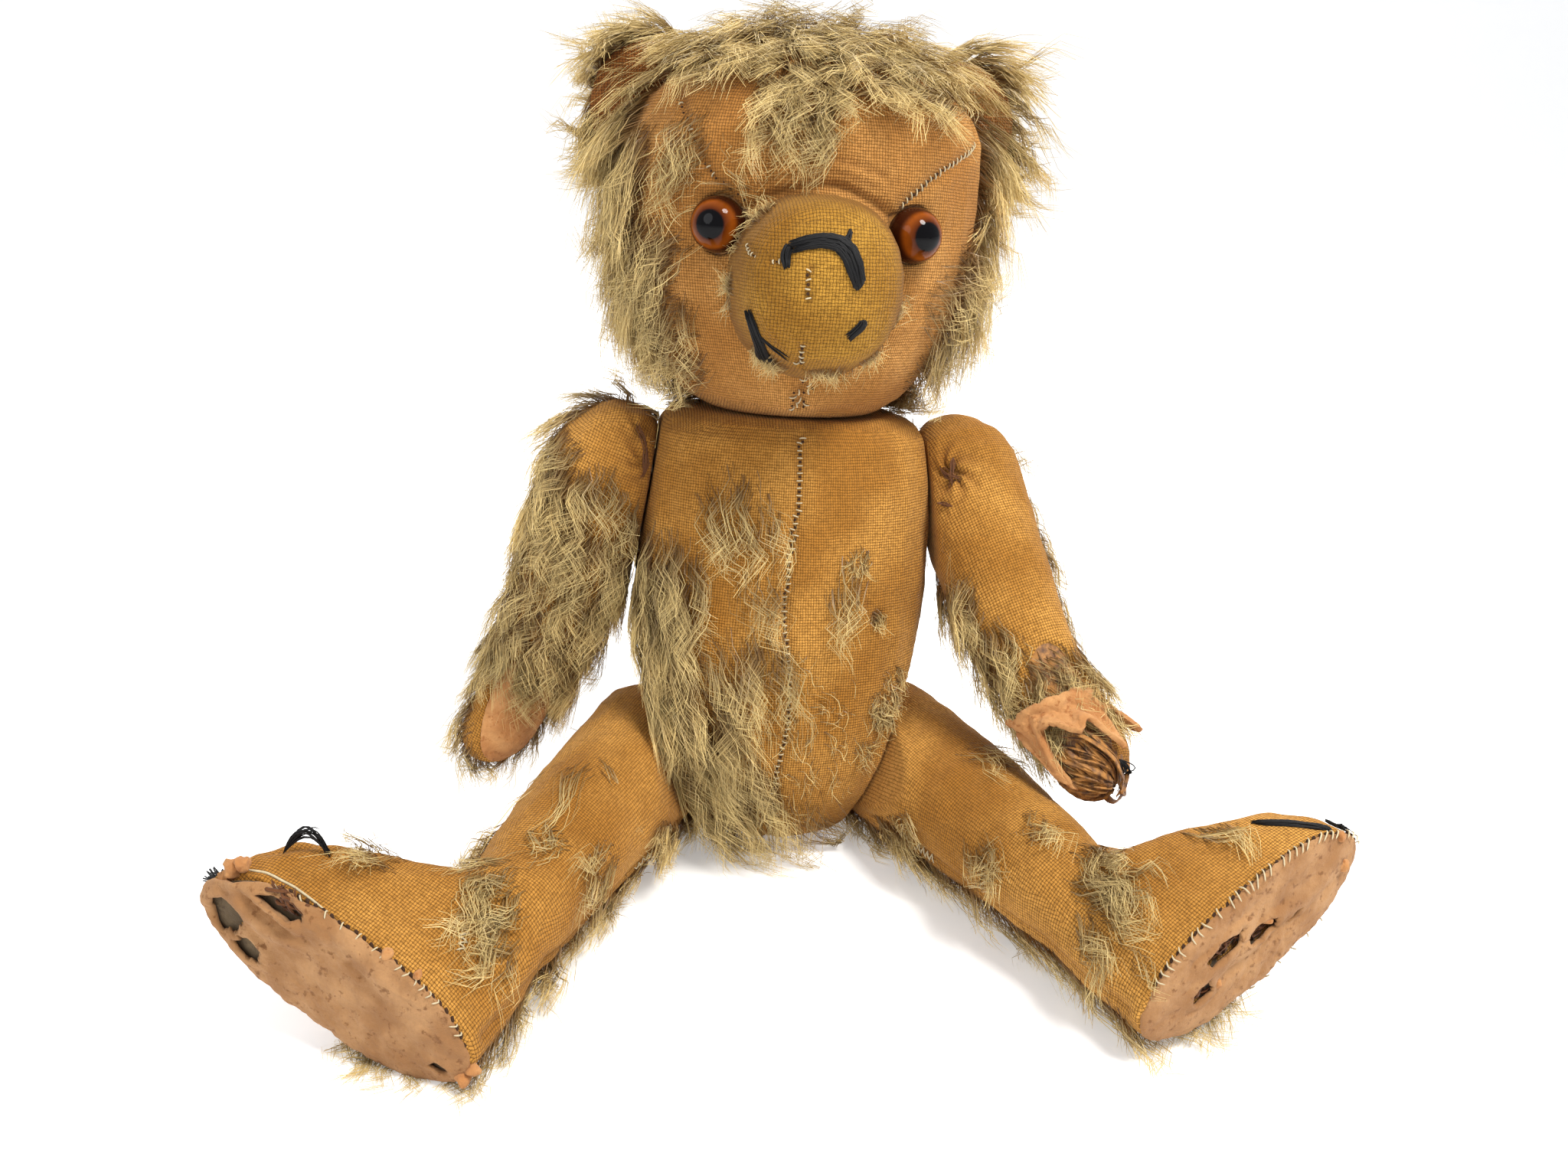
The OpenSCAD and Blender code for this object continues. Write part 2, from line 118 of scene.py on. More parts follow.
# ---- node materials
class Mat:
    """A material under construction, with the patterns that several of them use."""

    def __init__(self, name, roughness=0.9, **settings):
        self.material = bpy.data.materials.new(name)
        self.material.use_nodes = True
        self.tree = self.material.node_tree
        self.shader = self.tree.nodes["Principled BSDF"].inputs
        self.shader["Roughness"].default_value = roughness
        for key, value in settings.items():
            self.shader[key.replace("_", " ")].default_value = value
        self.place = self.node("TexCoord").outputs["Object"]

    def node(self, kind, *inputs, **settings):
        """A node with these settings, fed with these first inputs."""
        n = self.tree.nodes.new("ShaderNode" + kind)
        for key, value in settings.items():
            setattr(n, key, value)
        for socket, value in zip(n.inputs, inputs):
            self.feed(socket, value)
        return n

    def feed(self, socket, value):
        if isinstance(value, bpy.types.NodeSocket):
            self.tree.links.new(value, socket)
        elif hasattr(value, "__len__") and len(socket.default_value) == 4:
            socket.default_value = (*value, 1) if len(value) == 3 else value
        else:
            socket.default_value = value

    def math(self, operation, *values):
        return self.node("Math", *values, operation=operation).outputs[0]

    def times(self, a, b):
        return self.math("MULTIPLY", a, b)

    def noise(self, size, detail=3.0, rough=0.55, offset=0.0):
        """Noise from 0 to 1 whose features are about size millimetres across."""
        return self.node("TexNoise", self.place, offset, 1 / (size * MM), detail, rough,
                         noise_dimensions="4D").outputs["Fac"]

    def ramp(self, value, low, high, a=0.0, b=1.0):
        return self.node("MapRange", value, low, high, a, b, interpolation_type="SMOOTHSTEP").outputs[0]

    def mix(self, factor, a, b):
        n = self.node("Mix", factor, data_type="RGBA")
        self.feed(n.inputs[6], a)
        self.feed(n.inputs[7], b)
        return n.outputs[2]

    def attribute(self, name):
        return self.node("Attribute", attribute_name=name).outputs["Fac"]

    def colour(self, socket):
        self.feed(self.shader["Base Color"], socket)

    def bump(self, height, distance, strength):
        n = self.node("Bump", strength, distance * MM)
        self.feed(n.inputs["Height"], height)
        self.feed(self.shader["Normal"], n.outputs[0])


def tone(red, green, blue):
    """A colour given as it looks on screen, from 0 to 255, as the linear values that nodes take."""
    return tuple((c / 255 / 12.92) if c <= 10 else ((c / 255 + 0.055) / 1.055) ** 2.4
                 for c in (red, green, blue))


def darker(colour, share):
    return tuple(c * share for c in colour)


def plain(name, colour, roughness, **settings):
    """One colour with a faint mottle."""
    m = Mat(name, roughness, **settings)
    m.colour(m.mix(m.noise(12), darker(colour, 0.92), colour))
    return m.material


def woven(name, light, dark, thread=0.77, stripe=0.35):
    """Plain weave with threads thread millimetres apart, bald and faded in patches. The layer "weave" holds hundredths
    of millimetres along the threads, and the darkening layer says how much each place is darkened: stains round mends,
    and painted shade along seams, in folds and hollows, round the muzzle and near the floor."""
    m = Mat(name, 0.93, Sheen_Weight=0.06, Sheen_Roughness=0.5, Sheen_Tint=(1, 0.9, 0.72, 1),
            Specular_IOR_Level=0.15)
    split = m.node("SeparateXYZ", m.node("UVMap", uv_map="weave").outputs[0])
    wave = []
    for i in (0, 1):
        drift = m.times(m.noise(9, 2, offset=3.0 * i + 1), 1.1)
        turns = m.math("MULTIPLY_ADD", split.outputs[i], 100 / thread, drift)
        wave.append(m.math("SINE", m.times(turns, math.pi)))
    over = m.math("GREATER_THAN", m.times(*wave), 0.0)
    a, b = (m.math("ABSOLUTE", w) for w in wave)
    warp = m.times(a, m.math("POWER", b, stripe))
    weft = m.times(b, m.math("POWER", a, stripe))
    height = m.math("ADD", m.times(warp, over), m.times(weft, m.math("SUBTRACT", 1.0, over)))
    base = m.mix(m.ramp(m.noise(26, 4, offset=9), 0.32, 0.68), dark, light)
    base = m.mix(m.ramp(m.noise(1.0, 3, 0.65, 4), 0.35, 0.7, 0.0, 0.6), base, darker(dark, 0.5))
    # painted shade: the cloth darkens where the weave sinks between the threads
    base = m.mix(m.ramp(height, 0.05, 0.65, 0.85, 0.0), base, darker(dark, 0.25))
    # the darkening layer mixes towards dark brown: stains round mends, and painted shade in seams, folds, hollows,
    # round the muzzle and near the floor
    m.colour(m.mix(m.times(m.attribute("soil"), 0.75), base, tone(112, 70, 32)))
    m.bump(m.math("ADD", height, m.noise(2.2, 3)), 0.22, 0.8)
    return m.material


# ---- frames of the bodies
def read(items, key, width=1, kind=np.int32):
    """One property of all the items as an array, width values each."""
    values = np.zeros(len(items) * width, kind)
    items.foreach_get(key, values)
    return values.reshape(-1, width) if width > 1 else values


def points_of(obj):
    return read(obj.data.vertices, "co", 3, float)


class Axes:
    """A body's own axes. Places in it are millimetres along x, y and z from its origin."""

    def __init__(self, origin, z, y):
        self.origin = np.asarray(origin, float)
        self.z = unit(z)
        self.y = unit(np.asarray(y) - np.dot(y, self.z) * self.z)
        self.x = np.cross(self.y, self.z)

    @property
    def rows(self):
        return np.array([self.x, self.y, self.z])

    def world(self, x, y, z):
        x, y, z = (np.asarray(v, float)[..., None] for v in (x, y, z))
        return self.origin + MM * (x * self.x + y * self.y + z * self.z)

    def turn(self, x, y, z):
        return unit(x * self.x + y * self.y + z * self.z)

    def local(self, points):
        return (np.asarray(points) - self.origin) / MM @ self.rows.T


JOINT = {j["name"]: j for j in frame["joints"]}


def node(name):
    return frame["nodes"][name]


def long_axes(points):
    """The directions in which the points spread, the widest first."""
    return np.linalg.svd(points - points.mean(0), full_matrices=False)[2]


def limb_axes(side):
    """Z from the shoulder down the arm, Y to the front, X away from the torso."""
    j = JOINT[f"{side}_arm_swing"]
    spread = long_axes(points_of(node(f"{side}_arm_cover")))[0]
    down = spread if spread[2] < 0 else -spread
    out = np.array(j["axis"]) * SIDES[side]
    axes = Axes(j["pos_m"], down, np.cross(down, out) * SIDES[side])
    axes.x = axes.x * -SIDES[side] if np.dot(axes.x, out) * SIDES[side] < 0 else axes.x
    return axes


def foot_axes(side):
    """From the sole, on the middle line of the leg: Z out of the sole, Y to the toes, X to the bear's left."""
    pad = points_of(node(f"{side}_foot_pad"))
    toes, _, down = long_axes(pad)
    hip = np.array(JOINT[f"{side}_leg_swing"]["pos_m"])
    down = down if np.dot(down, pad.mean(0) - hip) > 0 else -down
    toes = toes if toes[2] > 0 else -toes
    axes = Axes(pad.mean(0), down, toes)
    shin = axes.local(points_of(node(f"{side}_leg_cover")))
    shin = shin[(shin[:, 2] > -60) & (shin[:, 2] < -36)]
    axes.origin = axes.world(*((shin.min(0) + shin.max(0)) / 2)[:2], 0)
    return axes


TRUNK = Axes(JOINT["head_turn"]["pos_m"], JOINT["head_turn"]["axis"], (0, -1, 0))     # Y out of the front
AXES = {"torso": TRUNK, "head": TRUNK}
for side in SIDES:
    AXES[f"{side}_arm"] = limb_axes(side)
    AXES[f"{side}_leg"] = foot_axes(side)


# ---- cloth surfaces
def apply_modifiers(obj):
    bpy.context.view_layer.update()
    graph = bpy.context.evaluated_depsgraph_get()
    mesh = bpy.data.meshes.new_from_object(obj.evaluated_get(graph))
    obj.modifiers.clear()
    obj.data = mesh


def mesh_of(bm, name):
    mesh = bpy.data.meshes.new(name)
    bm.to_mesh(mesh)
    bm.free()
    return mesh


def set_points(obj, points):
    obj.data.vertices.foreach_set("co", points.astype(np.float32).ravel())
    obj.data.update()


def take_material(obj, material):
    obj.data.materials.clear()
    obj.data.materials.append(material)
    for f in obj.data.polygons:
        f.use_smooth = True


def dress(obj, material, body):
    """Gives a piece its material and the body that it rides on."""
    take_material(obj, material)
    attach(obj, body)
    return obj


def solid_of(names, plugs):
    """One mesh of these nodes together, with a plug in each pin hole. A plug is (joint name, which way is in)."""
    bm = bmesh.new()
    for name in names:
        bm.from_mesh(node(name).data)
    depth, radius, thick = 1.1 * MM, 2.6 * MM, 1.5 * MM
    for joint, inward in plugs:
        axis = Vector(JOINT[joint]["axis"]) * inward
        middle = Vector(JOINT[joint]["pos_m"]) + axis * depth
        place = Matrix.Translation(middle) @ axis.to_track_quat("Z", "Y").to_matrix().to_4x4()
        bmesh.ops.create_cone(bm, cap_ends=True, segments=16, radius1=radius, radius2=radius, depth=thick,
                              matrix=place)
    return mesh_of(bm, "solid")


def biggest_part(obj):
    """Drops every loose part of a mesh but the one with the most points."""
    bm = bmesh.new()
    bm.from_mesh(obj.data)
    left, parts = set(bm.verts), []
    while left:
        part, fresh = set(), [left.pop()]
        while fresh:
            v = fresh.pop()
            part.add(v)
            for e in v.link_edges:
                w = e.other_vert(v)
                if w in left:
                    left.discard(w)
                    fresh.append(w)
        parts.append(part)
    parts.sort(key=len)
    bmesh.ops.delete(bm, geom=[v for part in parts[:-1] for v in part], context="VERTS")
    bm.to_mesh(obj.data)
    bm.free()


def remeshed(name, mesh, voxel):
    """A new object: the mesh made even and closed with faces voxel millimetres wide, then smoothed."""
    obj = add(name, mesh)
    grid = obj.modifiers.new("grid", "REMESH")
    grid.mode, grid.voxel_size = "VOXEL", voxel * MM
    soft = obj.modifiers.new("soft", "SMOOTH")
    soft.factor, soft.iterations = 0.5, 5
    apply_modifiers(obj)
    biggest_part(obj)
    return obj


def fbm(points, size, seed):
    """Smooth noise from about -1 to 1 with features size millimetres across."""
    shift = Vector((seed * 7.3, seed * 3.1, seed * 5.7))
    k = 1 / (size * MM)
    return np.array([noise.fractal(Vector(p) * k + shift, 1.0, 2.0, 3) for p in points])


def ease(v, low, high):
    """A smooth rise from 0 where v is low to 1 where it is high."""
    t = np.clip((np.asarray(v, float) - low) / (high - low), 0, 1)
    return t * t * (3 - 2 * t)


class Skin:
    """A body's cloth: its object, points and normals, and a tree to find places on it."""

    def __init__(self, obj, body):
        self.obj, self.body, self.axes = obj, body, AXES[body]
        self.refresh()

    def refresh(self):
        self.points = points_of(self.obj)
        self.normals = read(self.obj.data.vertices, "normal", 3, np.float32).astype(float)
        self.tree = BVHTree.FromPolygons([v.co.copy() for v in self.obj.data.vertices],
                                         [list(f.vertices) for f in self.obj.data.polygons])

    def push(self, amount):
        """Moves each point out along its normal by amount millimetres."""
        set_points(self.obj, self.points + self.normals * (np.asarray(amount)[:, None] * MM))
        self.refresh()

    def nearest(self, point):
        place, normal, _, _ = self.tree.find_nearest(Vector(point))
        return np.array(place), np.array(normal)

    def front(self, x, z):
        """The place and normal of the skin's front at this x and z, which are in the body's axes."""
        way = self.axes.turn(0, 1, 0)
        start = self.axes.world(x, 0, z) + way * 300 * MM
        place, normal, _, _ = self.tree.ray_cast(Vector(start), Vector(-way))
        if place is None:
            return self.nearest(self.axes.world(x, 0, z))
        return np.array(place), np.array(normal)

    def height_over_joints(self, points):
        """How far inside its own side of every joint plane of this body each point lies, in millimetres."""
        points = np.asarray(points)
        heights = [((points - JOINT[j]["pos_m"]) @ (np.array(JOINT[j]["axis"]) * inward)) / MM
                   for j, inward in PLUGS[self.body]]
        return np.min(heights, axis=0)

    def lay_weave(self, radius):
        """A layer of places along the threads: round the body's Z axis and along it, and flat on its ends. With
        no radius, each face takes them from the two axes that it lies nearest to."""
        mesh = self.obj.data
        corners, starts = read(mesh.loops, "vertex_index"), read(mesh.polygons, "loop_start")
        face = np.repeat(np.arange(len(starts)), np.diff(np.append(starts, len(corners))))
        local = self.axes.local(self.points)
        count = np.bincount(face)
        middle, facing = (np.array([np.bincount(face, v[corners, i]) / count for i in range(3)]).T
                          for v in (local, self.normals @ self.axes.rows.T))
        main = (np.abs(facing) * [1, 1, 0.7 if radius else 1]).argmax(1)[face]
        places = local[corners]
        if radius:
            home = np.arctan2(middle[:, 0], middle[:, 1])[face]
            turned = np.arctan2(places[:, 0], places[:, 1])
            turned = home + (turned - home + np.pi) % (2 * np.pi) - np.pi
            uv = np.column_stack([turned * radius, places[:, 2]])
        else:
            uv = np.where((main == 0)[:, None], places[:, 1:], places[:, ::2])
        uv[main == 2] = places[main == 2][:, :2]
        layer = mesh.uv_layers.new(name="weave")
        layer.data.foreach_set("uv", (uv * 0.01).astype(np.float32).ravel())


# Each pin hole of a body: the joint, and which way along its axis is into the body
PLUGS = {"torso": [("head_turn", -1), ("left_arm_swing", -1), ("right_arm_swing", 1),
                   ("left_leg_swing", -1), ("right_leg_swing", 1)],
         "head": [("head_turn", 1)]}
for side, sign in SIDES.items():
    PLUGS[f"{side}_arm"] = [(f"{side}_arm_swing", sign)]
    PLUGS[f"{side}_leg"] = [(f"{side}_leg_swing", sign)]


# ---- the stuffed bodies, muzzle and ears
CLOTH = {
    "body_cloth": woven("body_cloth", tone(212, 154, 74), tone(170, 114, 44)),
    "face_cloth": woven("face_cloth", tone(214, 156, 86), tone(178, 120, 56)),
    "muzzle_cloth": woven("muzzle_cloth", tone(186, 138, 54), tone(146, 98, 28), thread=0.8, stripe=0.2),
    "ear_cloth": woven("ear_cloth", tone(172, 112, 58), tone(124, 72, 28)),
}
SKIN = {}


def stuffed(key, body, covers, fillings, lumps, slot="body_cloth", radius=None, voxel=0.9):
    """A stuffed cloth piece in place of its covers, with soft lumps and creases of up to lumps millimetres. It
    is kept as SKIN[key]. radius is for lay_weave."""
    skin = Skin(remeshed(f"{key}_cloth", solid_of(covers + fillings, PLUGS[body]), voxel), body)
    free = ease(skin.height_over_joints(skin.points), 0.4, 4)
    low = ease(skin.points[:, 2] / MM, 0.2, 6)
    push = lumps * fbm(skin.points, 26, 1) + 0.35 * lumps * fbm(skin.points, 9, 2)
    skin.push(push * free * low)
    skin.lay_weave(radius)
    skin.free = free * low
    skin.shift, skin.soil = np.zeros((2, len(skin.points)))
    dress(skin.obj, CLOTH[slot], body)
    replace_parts(skin.obj, *covers)
    SKIN[key] = skin


stuffed("torso", "torso", ["torso_cover"], ["torso_stuffing"], 0.9, radius=40)
stuffed("head", "head", ["head_cover"], ["head_stuffing"], 0.7, "face_cloth", 44)
stuffed("muzzle", "head", ["muzzle_cover"], [], 0.5, "muzzle_cloth", voxel=0.7)
for side in SIDES:
    arm, leg = f"{side}_arm", f"{side}_leg"
    stuffed(arm, arm, [f"{arm}_cover"], [f"{arm}_stuffing"], 0.8)
    stuffed(leg, leg, [f"{leg}_cover"], [f"{leg}_stuffing", f"{side}_foot_board"], 1.0)
for side in SIDES:
    stuffed(f"{side}_ear", "head", [f"{side}_ear_front", f"{side}_ear_back"], [], 0.6, "ear_cloth", voxel=0.6)


# ---- seams, mends, wear and painted shade
def smooth_line(stops, step=0.8):
    """Points about step apart on a smooth line through stops."""
    stops = np.array(stops, float)
    ends = np.vstack([2 * stops[0] - stops[1], stops, 2 * stops[-1] - stops[-2]])
    rows = []
    for p0, p1, p2, p3 in zip(ends, ends[1:], ends[2:], ends[3:]):
        t = np.linspace(0, 1, max(int(np.linalg.norm(p2 - p1) / step), 2), endpoint=False)[:, None]
        rows.append(0.5 * (2 * p1 + (p2 - p0) * t + (2 * p0 - 5 * p1 + 4 * p2 - p3) * t ** 2
                           + (3 * p1 - p0 - 3 * p2 + p3) * t ** 3))
    return np.vstack(rows + [stops[-1:]])


def skin_line(skin, stops):
    """Places and normals on a skin along a smooth line through stops, which are in the body's axes."""
    spots = [skin.nearest(skin.axes.world(*p)) for p in smooth_line(stops)]
    return np.array([s[0] for s in spots]), np.array([s[1] for s in spots])


def distance_to(points, line, reach=12):
    """Millimetres from each point to the nearest place on a line, or reach if that is less."""
    distance = np.full(len(points), float(reach))
    margin = reach * MM
    close = np.where(((points > line.min(0) - margin) & (points < line.max(0) + margin)).all(1))[0]
    for start in range(0, len(close), 2000):        # in parts, to save memory
        part = close[start:start + 2000]
        gap = np.linalg.norm(points[part][:, None] - line[None], axis=2).min(1) / MM
        distance[part] = np.minimum(gap, reach)
    return distance


def groove(key, stops, depth=0.8, width=1.3, soil=0.45):
    """A seam pressed into a skin, with the cloth swollen on both sides of it and painted shade darkening its line."""
    skin = SKIN[key]
    d = distance_to(skin.points, skin_line(skin, stops)[0])
    dip = np.exp(-(d / width) ** 2)
    swell = np.exp(-((d - 2.8 * width) / (1.6 * width)) ** 2)
    skin.shift += depth * (0.35 * swell - dip)
    # painted shade in the groove of the seam
    skin.soil = np.maximum(skin.soil, soil * dip)


def gather(key, place, radius, folds, depth, soil, turn=0.0):
    """Cloth drawn together at a place by a mend, in folds that run out from it. The cloth round the mend is stained,
    and it is darkened more in the troughs of the folds as painted shade.
    """
    skin = SKIN[key]
    centre, normal = skin.nearest(skin.axes.world(*place))
    u = unit(np.cross(normal, (0.3, 0.2, 0.9)))
    off = (skin.points - centre) / MM
    r = np.linalg.norm(off, axis=1)
    a = np.arctan2(off @ np.cross(normal, u), off @ u)
    window = np.exp(-(r / radius) ** 2)
    waves = np.sin(folds * a + 1.5 * np.sin(2 * a + turn) + 0.6 * r)
    skin.shift += depth * (waves * window * ease(r, 0.5, 3) - 1.3 * np.exp(-(r / (0.3 * radius)) ** 2))
    # stain round the mend, plus painted shade in the troughs of the folds
    skin.soil = np.maximum(skin.soil, soil * window * (0.6 - 0.4 * waves))


def dent(key, place, radius, depth, soil):
    """A hollow in a skin, darkened with painted shade."""
    skin = SKIN[key]
    window = np.exp(-(np.linalg.norm(skin.axes.local(skin.points) - place, axis=1) / radius) ** 2)
    skin.shift -= depth * window
    # painted shade in the hollow
    skin.soil = np.maximum(skin.soil, soil * window)


BELLY = [(0, 30, -3), (0, 33, -21), (2, 36, -38), (2, 37, -55), (0, 38, -70), (0, 38, -84), (2, 36, -99),
         (2, 30, -115), (1, 16, -124)]
GUSSET_RIGHT = [(36, 6, 92), (36, 24, 82), (33, 31, 73), (28, 35, 63), (20, 39, 56)]
GUSSET_LEFT = [(-40, 6, 88), (-43, 18, 74), (-36, 27, 69), (-30, 33, 65), (-21, 38, 57)]
BROW = [(24, 38, 49), (17, 40, 55), (9, 41, 59), (-2, 41, 61), (-12, 41, 58), (-22, 38, 52)]
CHIN = [(1, 44, 14), (1, 38, 6), (1, 30, 1)]
MUZZLE_SEAM = [(5, 68, 42), (5.5, 68, 38), (4.5, 67, 33), (4.5, 65, 28), (5, 63, 24), (5, 56, 16)]
MUZZLE_SIDE = [(20, 52, 46), (18, 56, 44), (14, 62, 42.5), (10, 66, 43)]
groove("torso", BELLY, 0.9)
groove("torso", [(0, -28, -3), (0, -35, -30), (0, -37, -70), (0, -33, -105), (0, -18, -124)])
groove("head", GUSSET_RIGHT)
groove("head", GUSSET_LEFT)
groove("head", BROW, 1.3, 1.2, 0.7)
for rise in (3, 6):
    groove("head", [(x * (1 + rise / 20), y - rise / 6, z + rise) for x, y, z in BROW[1:5]], 0.5, 0.7, 0.55)
groove("head", CHIN, 0.9)
for sign in (1, -1):
    groove("head", [(sign * x, y, z) for x, y, z in ((24, -20, 92), (20, -38, 70), (14, -42, 45), (8, -38, 15),
                                                     (4, -30, 2))])
groove("muzzle", MUZZLE_SEAM, 0.7, 1.0)
groove("muzzle", MUZZLE_SIDE, 0.4, 0.9)
for side, sign in SIDES.items():
    dent("head", (-sign * 25, 39, 50), 10, 1.3, 0.5)
    groove(f"{side}_arm", [(-sign * 2, -15, -12), (0, -16, 20), (sign * 2, -14, 60), (sign * 6, -10, 88)])
    groove(f"{side}_leg", [(0, -16, -110), (0, -17, -60), (0, -15, -30), (0, -16, -6)])
    groove(f"{side}_leg", [(0, 16, -100), (0, 15, -60), (0, 14, -36), (0, 34, -20), (2, 50, -10)])
gather("head", (-31, 26, 81), 6, 6, 1.2, 0.5)
gather("right_arm", (-3, 14, -4), 8, 5, 1.2, 0.7)
gather("right_arm", (-8, 11, -11), 6, 4, 0.8, 0.5, 2.0)
gather("left_arm", (4, 16, 8), 7, 6, 1.4, 0.95, 1.0)
gather("left_arm", (-1, 12, 15), 4, 4, 0.7, 0.5, 2.0)
dent("torso", (-24, 32, -53), 2.0, 2.0, 1.0)
dent("torso", (-21, 33, -49), 1.0, 0.8, 0.8)
dent("left_arm", (9, 6, 97), 11, 2.2, 1.0)
# painted shade: the muzzle darkens towards its base, where it meets the face
edge = 1 - ease(SKIN["muzzle"].axes.local(SKIN["muzzle"].points)[:, 1], 44, 62)
SKIN["muzzle"].soil = np.maximum(SKIN["muzzle"].soil, 0.6 * edge)
for skin in SKIN.values():
    skin.push(skin.shift * skin.free)
    # painted shade: every skin darkens within 16 mm of the floor
    soil = np.clip(skin.soil + 0.25 * (1 - ease(skin.points[:, 2] / MM, 2, 16)), 0, 1)
    layer = skin.obj.data.attributes.new("soil", "FLOAT", "POINT")
    layer.data.foreach_set("value", soil.astype(np.float32))


# ---- mohair
FLOOR_GAP = 0.1 * MM        # how far every thread, hair and felt stays above the floor


def fast_mesh(name, points, faces, values=None):
    """A mesh object from arrays, kept above the floor. Every face has the same number of corners."""
    mesh = bpy.data.meshes.new(name)
    mesh.vertices.add(len(points))
    points = np.array(points, np.float32)
    points[:, 2] = np.maximum(points[:, 2], FLOOR_GAP)
    mesh.vertices.foreach_set("co", points.ravel())
    mesh.loops.add(faces.size)
    mesh.loops.foreach_set("vertex_index", faces.astype(np.int32).ravel())
    mesh.polygons.add(len(faces))
    mesh.polygons.foreach_set("loop_start", np.arange(0, faces.size, faces.shape[1], dtype=np.int32))
    for key, value in (values or {}).items():
        mesh.attributes.new(key, "FLOAT", "POINT").data.foreach_set("value", value.astype(np.float32))
    mesh.update(calc_edges=True)
    return add(name, mesh)


def mohair(name, root, tip):
    """Wavy hair: darker at the root, pale and a little glossy towards the tip, each lock its own shade."""
    m = Mat(name, 0.45, Sheen_Weight=0.1, Sheen_Roughness=0.4, Sheen_Tint=(1, 0.95, 0.82, 1),
            Specular_IOR_Level=0.35)
    base = m.mix(m.ramp(m.attribute("along"), 0.0, 0.75), root, tip)
    grey = m.mix(m.ramp(m.noise(22, 3), 0.4, 0.7, 0.0, 0.4), base, tone(150, 130, 84))
    dark = m.mix(0.5, grey, darker(root, 0.4))
    m.colour(m.mix(m.times(m.attribute("shade"), 0.8), grey, dark))
    return m.material


FUR = mohair("mohair", tone(108, 70, 26), tone(236, 208, 140))
STEPS = 6                   # points along a hair
OVER_CLOTH = 0.7 * MM       # the least height of a hair over its cloth
OVER_JOINT = 0.4 * MM       # and over the plane of a joint
OVER_FLOOR = 0.35 * MM


def ribbons(name, paths, width, along, shade, rng):
    """Flat tapering hairs along paths[hair, step], width millimetres wide at the root."""
    count, steps, _ = paths.shape
    way = np.gradient(paths, axis=1)
    side = unit(np.cross(way, unit(rng.normal(size=(count, 1, 3)))))
    half = ((width * MM / 2)[:, None] * (1 - 0.75 * along ** 1.5))[..., None]
    points = np.stack([paths - side * half, paths + side * half], axis=2)
    first = (np.arange(count)[:, None] * steps + np.arange(steps - 1)[None]) * 2
    faces = np.stack([first, first + 1, first + 3, first + 2], axis=-1).reshape(-1, 4)
    values = {"along": np.repeat(along.ravel(), 2), "shade": np.repeat(np.repeat(shade, steps), 2)}
    return fast_mesh(name, points.reshape(-1, 3), faces, values)


def blobs(places, patches):
    """How strongly patches cover places. A patch is (x, y, z, radius, strength); the strongest counts."""
    total = np.zeros(len(places))
    for x, y, z, radius, strength in patches:
        distance = np.linalg.norm(places - [x, y, z], axis=1)
        total = np.maximum(total, strength * (1 - ease(distance, radius * 0.55, radius * 1.1)))
    return total


def said(rule, places, facing):
    """What a rule says at each place. A rule is a function, a list of patches, or the same value for all."""
    if callable(rule):
        return rule(places, facing)
    return blobs(places, rule) if isinstance(rule, list) else np.array([rule] * len(places), float)


def roots_of(skin, count, density, rng):
    """Random places on a skin and their normals, more of them where density is higher."""
    skin.obj.data.calc_loop_triangles()
    tris = read(skin.obj.data.loop_triangles, "vertices", 3)
    a, b, c = (skin.points[tris[:, i]] for i in range(3))
    middle, normal = (a + b + c) / 3, np.cross(b - a, c - a)
    room = skin.height_over_joints(middle) > 1.5
    thick = said(density, skin.axes.local(middle), unit(normal) @ skin.axes.rows.T)
    chance = np.linalg.norm(normal, axis=1) * np.clip(thick, 0, 1) * room
    pick = rng.choice(len(tris), count, p=chance / chance.sum())
    u, v = rng.random((2, count))
    flip = u + v > 1
    u[flip], v[flip] = 1 - u[flip], 1 - v[flip]
    roots = a[pick] + (b - a)[pick] * u[:, None] + (c - a)[pick] * v[:, None]
    return roots, unit(skin.normals[tris[pick]].mean(axis=1))


